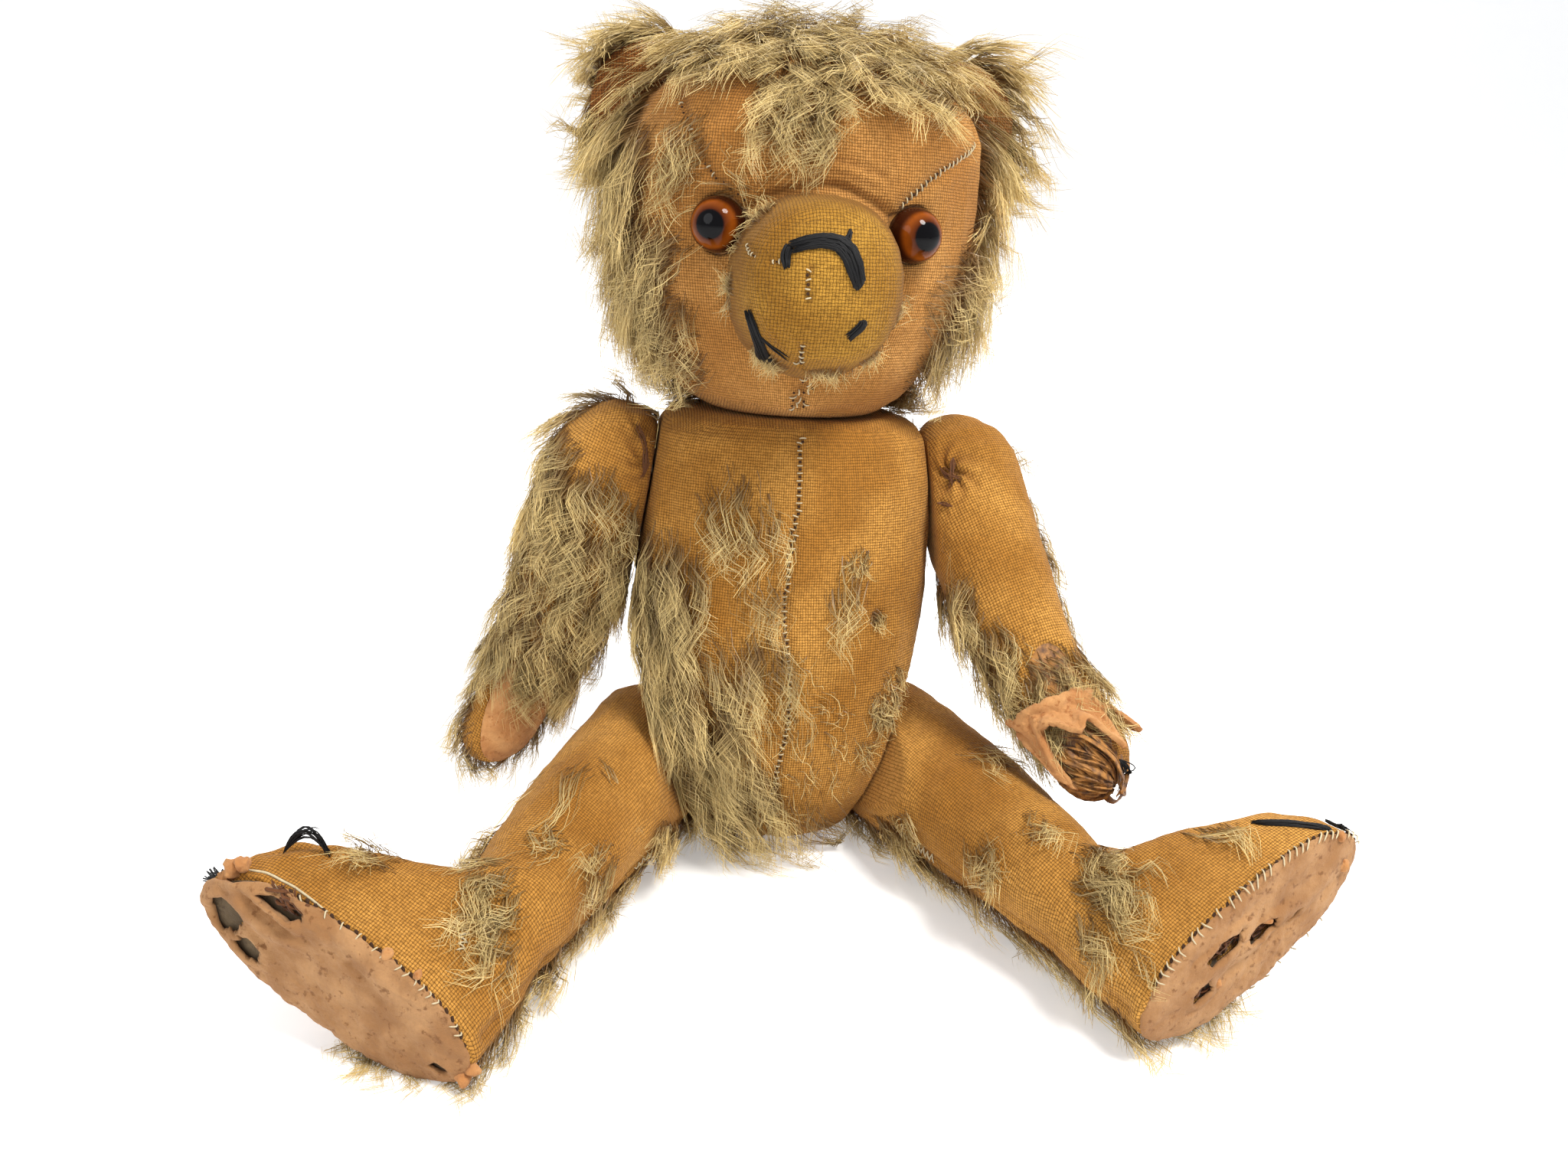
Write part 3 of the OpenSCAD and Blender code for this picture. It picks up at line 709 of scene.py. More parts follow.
def grow(name, key, count, density, comb, length, seed, lift=38, curl=1.5, clump=0.62, per_lock=26,
         width=0.24, sag=0.35):
    """Hair on a skin in wavy locks. The rules density, comb and length say how thick the hair grows, which way
    it lies, and how long it is in millimetres, from places and normals in the body's axes."""
    skin = SKIN[key]
    rows = skin.axes.rows
    rng = np.random.default_rng(seed)
    roots, normals = roots_of(skin, count, density, rng)
    guides = max(count // per_lock, 3)              # the first roots lead a lock each
    tree = KDTree(guides)
    for i in range(guides):
        tree.insert(Vector(roots[i]), i)
    tree.balance()
    lock = np.array([tree.find(Vector(p))[1] for p in roots])

    g_root, g_normal = roots[:guides], normals[:guides]
    local, facing = skin.axes.local(g_root), g_normal @ rows.T
    way = unit(said(comb, local, facing)) @ rows
    way = way + rng.normal(size=way.shape) * 0.22
    way = unit(way - (way * g_normal).sum(1, keepdims=True) * g_normal)
    long = said(length, local, facing) * rng.uniform(0.72, 1.15, guides)
    t = np.linspace(0, 1, STEPS)
    angle = np.radians(lift * rng.uniform(0.6, 1.3, guides))[:, None] * (1 - t) ** 1.2
    heading = unit(way[:, None] * np.cos(angle)[..., None] + g_normal[:, None] * np.sin(angle)[..., None]
                        + np.array([0, 0, -sag]) * t[None, :, None])
    step = long[:, None, None] * MM / (STEPS - 1)
    path = g_root[:, None] + np.concatenate(
        [np.zeros((guides, 1, 3)), np.cumsum((heading[:, :-1] + heading[:, 1:]) / 2 * step, axis=1)], axis=1)
    phase = rng.uniform(0, 2 * np.pi, guides)[:, None]
    waves = (long / rng.uniform(9, 15, guides))[:, None]
    swing = curl * MM * np.sin(phase + 2 * np.pi * waves * t) * np.minimum(t * 2.2, 1)
    path += np.cross(g_normal, way)[:, None] * (swing - swing[:, :1])[..., None]
    for i in range(guides):
        for k in range(1, STEPS):
            place, normal, _, _ = skin.tree.find_nearest(Vector(path[i, k]), 12 * MM)
            height = OVER_CLOTH if place is None else (Vector(path[i, k]) - place).dot(normal)
            if height < OVER_CLOTH:
                path[i, k] += np.array(normal) * (OVER_CLOTH - height)

    scale = rng.uniform(0.55, 1.12, count)
    base = path[lock] - path[lock][:, :1]
    off = roots - g_root[lock]
    hair = roots[:, None] + base * scale[:, None, None] - off[:, None] * (clump * t[None, :, None] ** 1.3)
    hair += rng.normal(size=hair.shape) * 0.2 * MM * t[None, :, None]
    hair += rng.normal(size=(count, 1, 3)) * 1.5 * MM * t[None, :, None] ** 2
    for joint, inward in PLUGS[skin.body]:
        axis = np.array(JOINT[joint]["axis"]) * inward
        depth = (hair - JOINT[joint]["pos_m"]) @ axis
        hair += np.maximum(OVER_JOINT - depth, 0)[..., None] * axis
    hair[..., 2] = np.maximum(hair[..., 2], OVER_FLOOR)
    shade = np.clip(rng.beta(1.2, 3, guides)[lock] * 0.8 + rng.random(count) * 0.3, 0, 1)
    along = np.broadcast_to(t, (count, STEPS)) * np.clip(scale, 0, 1)[:, None]
    dress(ribbons(name, hair, width * rng.uniform(0.6, 1.2, count), along, shade, rng), FUR, skin.body)


def scattered(places, size, seed):
    """Ragged patches, from 0 to 1, as moth and wear leave them."""
    x, y, z = (places / size).T
    s = seed * 1.7
    waves = (np.sin(x * 1.9 + s) * np.sin(y * 2.3 + 2 * s) + np.sin(y * 1.3 + z * 1.7 + s)
             + np.sin(z * 2.1 - x * 1.1 + 3 * s) + 0.6 * np.sin(x * 4.3 + z * 3.7 + s))
    return ease(waves, -0.4, 1.6)


def head_density(p, n):
    x, y, z = p.T
    fringe_low = np.where(x > 16, 84, np.where(x > -4, 69, 80))
    crown = ease(z, fringe_low, fringe_low + 4)
    right = ease(x, 36, 41) * (1 - ease(y, 16, 22))
    left = ease(-x, 39, 44) * (1 - ease(y, 6, 14))
    back = ease(-y, -4, 6) * 0.9
    thin = blobs(p, [(31, 27, 68, 11, 0.4), (37, 20, 42, 13, 0.7), (-42, 17, 40, 11, 0.7), (35, 22, 26, 11, 0.6),
                     (32, 24, 12, 9, 0.5), (-38, 16, 20, 11, 0.6), (-34, 26, 34, 10, 0.25), (1, 38, 5, 5, 0.5),
                     (20, 38, 58, 4, 0.4), (-34, 22, 8, 8, 0.3)])
    ears = blobs(p, [(40, 16, 84, 13, 1), (-41, 13, 84, 13, 1)])
    return np.maximum.reduce([crown, right, left, back, thin]) * (1 - ears)


def ways(*columns):
    return np.column_stack(np.broadcast_arrays(*columns))


def head_comb(p, n):
    x, y, z = p.T
    top = (ease(n[:, 2], 0.25, 0.8) * ease(y, -20, 5))[:, None]
    brow = ((y > 15) & (z > 64))[:, None]
    face = np.where(brow, ways(0.1 + 0.012 * x, 0.3, -1), ways(np.sign(x) * 1.1, 0.2, -0.8))
    return face * (1 - top) + ways(0.1 + 0.014 * x, 1, -0.35) * top


def head_length(p, n):
    x, y, z = p.T
    long = 18 + 5 * ease(z, 66, 90) + 6 * ease(np.abs(x), 34, 44)
    return long * (1 - 0.4 * ease(-y, 5, 30))


grow("head_fur", "head", 16000, head_density, head_comb, head_length, 11, lift=46, curl=2.2, clump=0.72)
grow("head_top_fur", "head", 15000, head_density, head_comb, head_length, 15, lift=66, curl=2.8, clump=0.78,
     width=0.2)
grow("muzzle_fur", "muzzle", 1500, [(14, 48, 52, 5, 1), (18, 45, 46, 4, 0.7), (20, 44, 34, 6, 0.6),
                                    (14, 50, 16, 8, 0.9), (-2, 52, 13, 8, 0.6), (-14, 48, 18, 7, 0.6),
                                    (-20, 42, 30, 6, 0.4)],
     lambda p, n: ways(p[:, 0] * 0.04, -0.5, (p[:, 2] - 36) * 0.03), 6, 19, lift=40, curl=0.6, width=0.18)


def ear_fur(side, sign, up, length):
    """Hair on the back and rim of an ear. sign is that of x on its side, and up how much its top is combed up."""
    def density(p, n):
        x, _, z = p.T
        rim = 0.8 * ease(np.hypot(sign * x - 46, z - 80), 12, 16) + 0.5 * ease(z, 84, 92)
        back = ease(-n[:, 1], 0.0, 0.5)
        return np.clip(back + rim * ease(-n[:, 1], -0.45, 0.0), 0, 1) * (sign * x > 34)

    def comb(p, n):
        return ways(sign * 0.9, 0.1, up * ease(p[:, 2], 78, 92) - 0.55)
    grow(f"{side}_ear_fur", f"{side}_ear", 5200, density, comb, length, 40 + sign, lift=40, curl=1.8, clump=0.7)


ear_fur("right", 1, 1.3, 17)
ear_fur("left", -1, 0.9, 22)


def torso_density(p, n):
    x, y, z = p.T
    flank = ease(x, 22, 31) * ease(-z, 28, 42) * 0.8
    belly = ease(x, 6, 18) * ease(-z, 52, 80) * 0.5
    back = ease(-y, 4, 18) * (0.35 + 0.65 * scattered(p, 16, 1))
    wisps = blobs(p, [(17, 32, -24, 13, 0.22), (-14, 35, -42, 8, 0.22), (9, 36, -44, 9, 0.16), (8, 37, -62, 8, 0.3),
                      (-5, 28, -114, 14, 0.12), (14, 34, -104, 14, 0.5), (26, 20, -114, 12, 0.8)])
    return np.maximum.reduce([flank, belly, back, wisps])


def torso_comb(p, n):
    return ways(-0.25 - 0.45 * ease(-p[:, 2], 40, 90), 0.2, -1)


grow("torso_fur", "torso", 14000, torso_density, torso_comb, lambda p, n: 18 + 9 * ease(-p[:, 2], 30, 60),
     12, lift=34, clump=0.78, per_lock=34, curl=2.8)
grow("torso_fluff", "torso", 900, [(-28, 30, -80, 7, 0.8), (-30, 28, -72, 5, 0.5), (-18, 34, -36, 5, 0.4),
                                   (-22, 30, -92, 6, 0.3), (5, 36, -88, 30, 0.05), (-24, 32, -53, 3, 0.6)],
     torso_comb, 4.5, 17, lift=50, curl=1.4, clump=0.5, per_lock=8)


def left_arm_density(p, n):
    y, z = p[:, 1], p[:, 2]
    back = ease(-y, 0, 8) * (0.4 + 0.6 * scattered(p, 13, 3))
    wrist = ease(z, 60, 68) * (1 - ease(z, 82, 86)) * 0.35
    wisps = blobs(p, [(-6, 4, 58, 12, 0.4), (-6, 4, 40, 9, 0.3), (-6, 4, 20, 7, 0.25)])
    return np.maximum.reduce([back * 0.6 * (z < 86), wrist, wisps]) * (z < 88)


def right_arm_density(p, n):
    worn = 0.4 + 0.6 * scattered(p, 13, 3)
    bald = blobs(p, [(-14, 11, -11, 13, 1), (-3, 15, -3, 9, 0.9), (-8, 9, 80, 15, 1), (-8, 9, 92, 10, 1),
                     (-7, 13, 14, 6, 0.5)])
    return worn * 0.95 - bald


DOWN_LIMB = (0.12, 0.0, 1.0)
for side, hairs, density in (("left", 6500, left_arm_density), ("right", 11000, right_arm_density)):
    grow(f"{side}_arm_fur", f"{side}_arm", hairs, density, DOWN_LIMB,
         lambda p, n: 18 - 6 * ease(p[:, 2], 60, 95), 13 + hairs, lift=34, clump=0.76, per_lock=32,
         sag=0.3, curl=2.6)


def leg_fur(side, sign):
    """Hair under a leg and in tufts on its upper side, where x is negative on the bear's left leg."""
    def density(p, n):
        q = p * [-sign, 1, 1]
        x, y, z = q.T
        under = ease(-x, 0, 9) * (0.35 + 0.65 * scattered(p, 12, 5)) * (1 - ease(y, 12, 20))
        tufts = blobs(q, [(15, 0, -26, 9, 0.5), (13, -10, -20, 9, 0.45), (15, 8, -34, 8, 0.4), (17, 12, -84, 9, 0.2),
                          (11, -14, -60, 9, 0.25), (16, 2, -52, 7, 0.16), (6, -17, -100, 12, 0.5),
                          (12, -10, -8, 6, 0.4), (10, 30, -22, 8, 0.2)])
        return np.maximum(under * 0.75, tufts) * (1 - ease(z, -6, -3))
    grow(f"{side}_leg_fur", f"{side}_leg", 7500, density, DOWN_LIMB, 16, 31 + int(sign), lift=36, clump=0.76,
         per_lock=30, curl=2.4)


for side, sign in SIDES.items():
    leg_fur(side, sign)


# ---- threads
DICE = np.random.default_rng(77)
noise.seed_set(1)          # without a seed, noise_vector differs from run to run


def even(path, steps):
    """A path with its points spaced evenly."""
    run = np.concatenate([[0], np.cumsum(np.linalg.norm(np.diff(path, axis=0), axis=1))])
    return read_off(np.linspace(0, run[-1], steps), run, path)


def read_off(stops, run, values):
    """The rows of values, known at run, at other stops."""
    return np.column_stack([np.interp(stops, run, values[:, i]) for i in range(3)])


def tubes(name, body, paths, radius, material, steps=9, flat=1.0, taper=0.3):
    """Threads along paths, radius millimetres thick, thinner at their ends. flat below 1 makes them strips."""
    paths = np.array([even(p, steps) for p in paths])
    count, sides = len(paths), 6
    radius = np.broadcast_to(np.asarray(radius, float), (count,)) * MM
    size = radius[:, None] * (1 - (1 - taper) * np.abs(np.linspace(-1, 1, steps)) ** 6)
    way = unit(np.gradient(paths, axis=1))
    side = unit(np.cross(way[:, 0], way[:, 0][:, [1, 2, 0]] + 0.31))
    turn = np.linspace(0, 2 * np.pi, sides, endpoint=False)[:, None]
    rings = []
    for k in range(steps):
        side = unit(side - (side * way[:, k]).sum(1, keepdims=True) * way[:, k])
        other = np.cross(way[:, k], side) * flat
        rings.append(paths[:, k, None] + size[:, k, None, None]
                     * (side[:, None] * np.cos(turn) + other[:, None] * np.sin(turn)))
    points = np.stack(rings, axis=1)
    at = (np.arange(count)[:, None, None] * steps + np.arange(steps - 1)[:, None]) * sides
    s = np.arange(sides)
    wall = np.stack([at + s, at + (s + 1) % sides, at + (s + 1) % sides + sides, at + s + sides], -1)
    first = np.arange(count)[:, None] * steps * sides
    last = first + (steps - 1) * sides
    caps = [first + [3, 2, 1, 0], first + [5, 4, 3, 0], last + [0, 1, 2, 3], last + [0, 3, 4, 5]]
    obj = fast_mesh(name, points.reshape(-1, 3), np.vstack([wall.reshape(-1, 4)] + caps))
    return dress(obj, material, body)


def thread(name, colour, roughness=0.75, sheen=0.2):
    """Twisted cotton."""
    m = Mat(name, roughness, Sheen_Weight=sheen, Sheen_Roughness=0.4, Specular_IOR_Level=0.3)
    m.colour(m.mix(m.noise(1.5, 3), darker(colour, 0.45), colour))
    m.bump(m.noise(0.35, 2), 0.1, 0.6)
    return m.material


CREAM = thread("cream_thread", tone(226, 208, 168))
BROWN = thread("brown_thread", tone(112, 66, 30))
BLACK = thread("black_thread", tone(14, 13, 15), 0.6, 0.02)
# painted shade: dark strips that stand for the shade in needle holes
HOLE_SHADE = plain("seam_shade", tone(58, 34, 14), 1.0)


def along_line(line, normals, pitch):
    """Places, normals and directions every pitch millimetres along a line."""
    run = np.concatenate([[0], np.cumsum(np.linalg.norm(np.diff(line, axis=0), axis=1))]) / MM
    stops = np.arange(pitch / 2, run[-1], pitch)
    way = unit(read_off(stops + 0.6, run, line) - read_off(stops - 0.6, run, line))
    return read_off(stops, run, line), unit(read_off(stops, run, normals)), way


def ladder(name, key, stops, pitch, reach, lean=0.0, hole=0.42, skip=0.0):
    """Cream stitches across a seam, with dark strips of painted shade for the needle holes between them."""
    skin = SKIN[key]
    place, normal, way = along_line(*skin_line(skin, stops), pitch)
    across = unit(np.cross(normal, way))
    t = np.linspace(-1, 1, 7)
    long = DICE.uniform(0.8, 1.2, len(place)) * reach
    tilt = lean + DICE.normal(size=len(place)) * 0.15 * reach
    arch = 0.45 * (1 - t ** 2) - 0.3 * t ** 8
    bars = (place[:, None] + MM * (long[:, None] * t)[..., None] * across[:, None]
            + MM * (tilt[:, None] * t)[..., None] * way[:, None] + MM * arch[:, None] * normal[:, None])
    tubes(name + "_stitches", skin.body, bars[DICE.random(len(bars)) >= skip], 0.2, CREAM, steps=7)
    spot = place + MM * pitch / 2 * way
    dark = (spot[:, None] + MM * (np.linspace(-0.9, 0.9, 5) * hole)[None, :, None] * way[:, None]
            + MM * 0.02 * normal[:, None])
    tubes(name + "_hole_shade", skin.body, dark, hole, HOLE_SHADE, steps=5, taper=0.4)


ladder("torso_seam", "torso", BELLY, 2.0, 0.95)
ladder("gusset_right", "head", GUSSET_RIGHT[1:], 2.4, 0.7, hole=0.3, skip=0.5)
ladder("gusset_left", "head", GUSSET_LEFT[1:], 1.9, 1.0, lean=0.5, hole=0.38)
ladder("chin", "head", CHIN, 2.6, 1.0, hole=0.35)
ladder("muzzle_seam", "muzzle", MUZZLE_SEAM, 2.1, 0.8)
ladder("muzzle_side", "muzzle", MUZZLE_SIDE, 1.7, 0.6, hole=0.25)


def strands(key, stops, count, width, proud, splay=0.0, loose=0.15):
    """Threads side by side along a line on a skin. width is millimetres at even stations along it, and splay
    how far they spread apart and lift at their end."""
    line, normals = skin_line(SKIN[key], stops)
    run = np.linspace(0, 1, len(line))
    paths = []
    for _ in range(count):
        t = np.linspace(DICE.uniform(0, 0.1), 1 - DICE.uniform(0, 0.1), 12)
        p = read_off(t, run, line)
        n = unit(read_off(t, run, normals))
        side = unit(np.cross(n, unit(np.gradient(p, axis=0))))
        u = DICE.uniform(-1, 1)
        half = np.interp(t, np.linspace(0, 1, len(width)), width) / 2 + splay * t ** 4
        wobble = loose * np.sin(DICE.uniform(0, 6.3) + DICE.uniform(2, 6) * t)
        height = proud * math.sqrt(1 - u * u) * DICE.uniform(0.2, 1) + 0.12 + splay * 0.4 * DICE.random() * t ** 4
        if not splay:
            height = height * np.minimum(np.minimum(t, 1 - t) * 9 + 0.05, 1)
        paths.append(p + MM * ((u * half + wobble)[:, None] * side + height[:, None] * n))
    return paths


def loop(key, start, end, height, count, loose=1.2):
    """Loose threads that stand up from a skin in a loop between two places."""
    skin = SKIN[key]
    (a, n), (b, m) = (skin.nearest(skin.axes.world(*p)) for p in (start, end))
    t = np.linspace(0, 1, 12)[:, None]
    paths = []
    for _ in range(count):
        way = unit(n + m + DICE.normal(size=3) * 0.25)
        top = DICE.uniform(0.75, 1) * height
        stop = DICE.choice([1.0, 1.0, DICE.uniform(0.5, 0.9)])
        path = a + (b - a) * t * stop + MM * top * np.sin(np.pi * t * stop) * way
        paths.append(path + MM * loose * np.sin(t * DICE.uniform(2, 5, 3) * stop) * DICE.normal(size=3) * 0.6)
    return paths


def black_threads(name, body, paths, radius, block, steps=9):
    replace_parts(tubes(name, body, paths, radius, BLACK, steps), block)


black_threads("nose_threads", "head", [
    *strands("muzzle", [(9.5, 65, 45.5), (4, 66, 47.5), (0, 67, 48), (-3, 67, 47), (-4.8, 67, 43), (-6.4, 67, 38),
                        (-7, 66, 32)], 150, [3.4, 3.4, 3.7, 4.6, 4.4, 2.0, 0.3], 1.4, 0.1),
    *strands("muzzle", [(9.5, 65, 46.5), (10.2, 65, 44), (9.8, 66, 41)], 22, [2.2, 2.4, 1.6], 1.0),
    *strands("muzzle", [(-3, 67, 48), (-4, 67, 50), (-4.5, 66, 52)], 7, [2.5, 1.5, 0.6], 0.5, 0.5)],
    0.2, "nose_stitching")
black_threads("mouth_threads", "head", [
    *strands("muzzle", [(18, 57, 31), (17.5, 57, 27), (16, 55, 22), (13, 49, 17)], 64, [2.2, 3.2, 3.0, 2.8], 1.3, 1.8),
    *strands("muzzle", [(16.5, 57, 24), (12, 59, 20.5), (7, 59, 19)], 3, [1.0, 1.5, 1.5], 0.3, 1.2),
    *strands("muzzle", [(-8.5, 65, 31), (-8, 65, 29), (-5, 65, 26)], 26, [1.9, 2.2, 1.6], 0.9, 0.6)],
    0.19, "mouth_stitching")
black_threads("left_foot_threads", "left_leg", [
    *strands("left_leg", [(-10, 39, -15), (-9, 43, -10), (-7, 47, -6), (-2, 51, -3), (1, 52, -1)], 40,
             [1.6, 2.0, 2.0, 2.0, 1.4], 1.0),
    *strands("left_leg", [(0, 55, -8), (0, 56, -5), (0, 55, -2)], 18, [1.5, 1.5, 1.5], 0.8, 3)],
    0.2, "left_foot_claws")
black_threads("right_foot_threads", "right_leg", [
    *loop("right_leg", (5, 47, -10), (7, 38, -15), 7, 14, 0.9),
    *loop("right_leg", (-8, 56, -4), (-12, 56, -8), 6, 22)], 0.17, "right_foot_claws", steps=12)
black_threads("right_paw_threads", "right_arm", strands(
    "right_arm", [(-15, 7, 89), (-11, 8, 91), (-8, 9, 91)], 18, [0.9, 1.4, 0.8], 0.5), 0.17, "right_paw_claws")

tubes("right_shoulder_mend", "right_arm", strands(
    "right_arm", [(-9, 10, -13), (-6, 12, -9), (-3, 14, -4), (-4, 14, 1)], 7, [1.2, 2, 2, 1], 0.2), 0.16, BROWN)
tubes("left_shoulder_mend", "left_arm", [
    *loop("left_arm", (2, 15, 5), (6, 16, 11), 1.2, 9, 0.8),
    *loop("left_arm", (6, 16, 4), (2, 15, 11), 1.2, 8, 0.8),
    *loop("left_arm", (-2, 12, 14), (1, 13, 17), 1.0, 6, 0.6)], 0.16, BROWN, steps=12)
tubes("head_knot", "head", loop("head", (-29, 26, 82), (-34, 24, 80), 1.6, 12, 1.0), 0.25, CREAM, steps=12)


def zigzag(name, key, start, way, long, wide, turns):
    """A cream zig-zag mend on a skin: it runs way from start, in the body's axes."""
    skin = SKIN[key]
    base, normal = skin.nearest(skin.axes.world(*start))
    ahead = skin.axes.turn(*way)
    across = unit(np.cross(normal, ahead))
    corners = []
    for i in range(2 * turns + 1):
        goal = base + MM * (ahead * long * i / (2 * turns) + across * wide * (0.5 if i % 2 else -0.5)
                            + DICE.normal(size=3) * 0.15)
        place, n = skin.nearest(goal)
        corners.append(place + n * 0.15 * MM)
    paths = [np.array([a, (a + b) / 2 + normal * 0.3 * MM, b]) for a, b in zip(corners, corners[1:])]
    tubes(name, skin.body, paths, 0.2, CREAM, steps=5)


zigzag("left_leg_mend", "left_leg", (0, -18, -88), (0, 0, 1), 8, 3, 4)
zigzag("right_leg_mend", "right_leg", (-1, -19, -90), (0, 0, 1), 9, 2, 4)
zigzag("right_ankle_mend", "right_leg", (18, 2, -16), (0, -0.6, 1), 6, 2.4, 3)


# ---- felt, card and wood wool
def felt(name, light, dark, stain):
    """Worn wool felt: matted fibres, thin places and stains."""
    m = Mat(name, 0.97, Sheen_Weight=0.12, Sheen_Roughness=0.6, Sheen_Tint=(1, 0.86, 0.72, 1),
            Specular_IOR_Level=0.15)
    base = m.mix(m.ramp(m.noise(9, 4, offset=1), 0.35, 0.65), dark, light)
    base = m.mix(m.ramp(m.noise(2.2, 5, 0.65, 2), 0.54, 0.66, 0.0, 0.85), base, stain)
    m.colour(m.mix(m.times(m.noise(0.7, 4, 0.7, 3), 0.5), base, darker(dark, 0.6)))
    m.bump(m.math("ADD", m.noise(0.5, 4, 0.7), m.noise(2.5, 3)), 0.35, 0.9)
    return m.material


PINK_FELT = felt("paw_felt", tone(214, 160, 104), tone(186, 126, 74), tone(160, 98, 52))
SOLE_FELT = felt("sole_felt", tone(190, 144, 98), tone(158, 112, 70), tone(116, 72, 38))
CARD = felt("card", tone(122, 104, 78), tone(92, 76, 56), tone(66, 50, 36))


def felt_sheet(name, body, grid, keep, thick, material, seed):
    """A closed felt sheet on a grid of places [row, column]; keep says which of its squares are there."""
    rows, cols, _ = grid.shape
    index = np.arange(rows * cols).reshape(rows, cols)
    quads = np.stack([index[:-1, :-1], index[1:, :-1], index[1:, 1:], index[:-1, 1:]], -1)[keep]
    used = np.unique(quads)
    renumber = np.zeros(rows * cols, int)
    renumber[used] = np.arange(len(used))
    obj = fast_mesh(name, grid.reshape(-1, 3)[used], renumber[quads])
    thickness = obj.modifiers.new("thickness", "SOLIDIFY")
    thickness.thickness, thickness.offset = thick * MM, 0
    obj.modifiers.new("smooth", "SUBSURF").levels = 1
    apply_modifiers(obj)
    points = points_of(obj)
    shake = np.array([noise.noise_vector(Vector(p) / (1.4 * MM) + Vector((seed, 0, 0))) for p in points])
    points = points + shake * 0.22 * MM
    points[:, 2] = np.maximum(points[:, 2], FLOOR_GAP)
    set_points(obj, points)
    return dress(obj, material, body)


def outline_of(points, bins=72):
    """A function from an angle to the distance at which a flat piece ends, from places in its own plane."""
    angle = np.arctan2(points[:, 1], points[:, 0])
    far = np.linalg.norm(points, axis=1)
    slots = ((angle + np.pi) / (2 * np.pi) * bins).astype(int) % bins
    reach = np.array([far[slots == i].max() if (slots == i).any() else np.nan for i in range(bins)])
    centres = (np.arange(bins) + 0.5) / bins * 2 * np.pi - np.pi
    ok = ~np.isnan(reach)
    return lambda a: np.interp(a, centres[ok], reach[ok], period=2 * np.pi)


def foot_pad(side):
    """The axes of a foot, the middle and size of its pad in them, and the pad's outline."""
    axes = AXES[f"{side}_leg"]
    pad = axes.local(points_of(node(f"{side}_foot_pad")))
    middle = (pad.min(0) + pad.max(0)) / 2
    return axes, middle, pad.max(0) - pad.min(0), outline_of((pad - middle)[:, :2])


def disc_grid(n):
    """A square grid of places bent into a unit disc."""
    u, v = np.meshgrid(np.linspace(-1, 1, n), np.linspace(-1, 1, n))
    return u * np.sqrt(1 - v * v / 2), v * np.sqrt(1 - u * u / 2)


def near_path(x, y, stops):
    line = smooth_line([(*p, 0) for p in stops], 0.8)[:, :2]
    return np.linalg.norm(np.stack([x, y], -1)[:, :, None] - line, axis=-1).min(-1)


def square_middles(field):
    return (field[:-1, :-1] + field[1:, :-1] + field[1:, 1:] + field[:-1, 1:]) / 4


def rough_grid(u, v, w, octaves):
    return np.array([[noise.fractal(Vector((p, q, w)), 1.0, 2.0, octaves) for p, q in zip(r, s)]
                     for r, s in zip(u, v)])


def sole(side, holes, ridges, seed):
    """The felt sole with torn places, and the card under it. Holes are (x, y, x radius, y radius), and ridges
    (stops, height, width), with a negative height for a dip."""
    axes, middle, size, reach = foot_pad(side)
    u, v = disc_grid(60)
    f, a = np.sqrt(u * u + v * v), np.arctan2(v, u)
    x, y = middle[0] + u * reach(a), middle[1] + v * reach(a)
    rough = rough_grid(x / 4, y / 4, seed / 4, 3)
    z = 0.35 + 0.5 * rough - 1.3 * f ** 10
    for stops, high, wide in ridges:
        z += high * np.exp(-(near_path(x, y, stops) / wide) ** 2)
    torn = np.full(x.shape, 9.0)
    for hx, hy, rx, ry in holes:
        torn = np.minimum(torn, np.hypot((x - hx) / rx, (y - hy) / ry) + 0.45 * rough)
    z += 1.1 * np.exp(-((torn - 1.25) / 0.3) ** 2)          # a raised lip round each hole
    keep = (square_middles(torn) > 1) | (square_middles(f) > 0.9)
    body = f"{side}_leg"
    obj = felt_sheet(f"{side}_sole_felt", body, axes.world(x, y, z), keep, 1.3, SOLE_FELT, seed)
    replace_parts(obj, f"{side}_foot_pad")
    x, y = (m + (v - m) * 0.96 for m, v in zip(middle, (x, y)))
    card = felt_sheet(f"{side}_sole_card", body, axes.world(x, y, 0.15 * rough - 0.75), keep | True, 0.5, CARD,
                      seed + 9)
    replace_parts(card, f"{side}_foot_board")
    wide, long = size[:2] * MM


sole("right", [(4, 38, 2.2, 6.5), (-9, 49, 4.5, 4.0), (-14, 41, 2.6, 3.5), (-10, -11, 1.1, 3.0)],
     [([(1, 51), (-3, 45), (-5, 38), (-3, 32)], 2.2, 1.9), ([(2, 49), (2, 40), (1, 32)], 1.9, 1.5),
      ([(-9, 55), (-4, 54), (1, 53)], 1.6, 2.2), ([(2, 28), (4, 20), (1, 6)], 0.6, 2.0),
      ([(-1, 44), (-2, 40), (-1, 35)], -0.8, 1.3)], 3)
sole("left", [(5, 1, 2.6, 3.0), (-2, 11, 2.2, 6.0), (2, 22, 1.6, 4.5), (7, 33, 1.2, 2.2)],
     [([(1, 2), (2, 10), (4, 18), (3, 28), (4, 40), (2, 47)], 1.3, 2.6),
      ([(7, 8), (7, 20), (8, 34)], -0.8, 1.8)], 5)


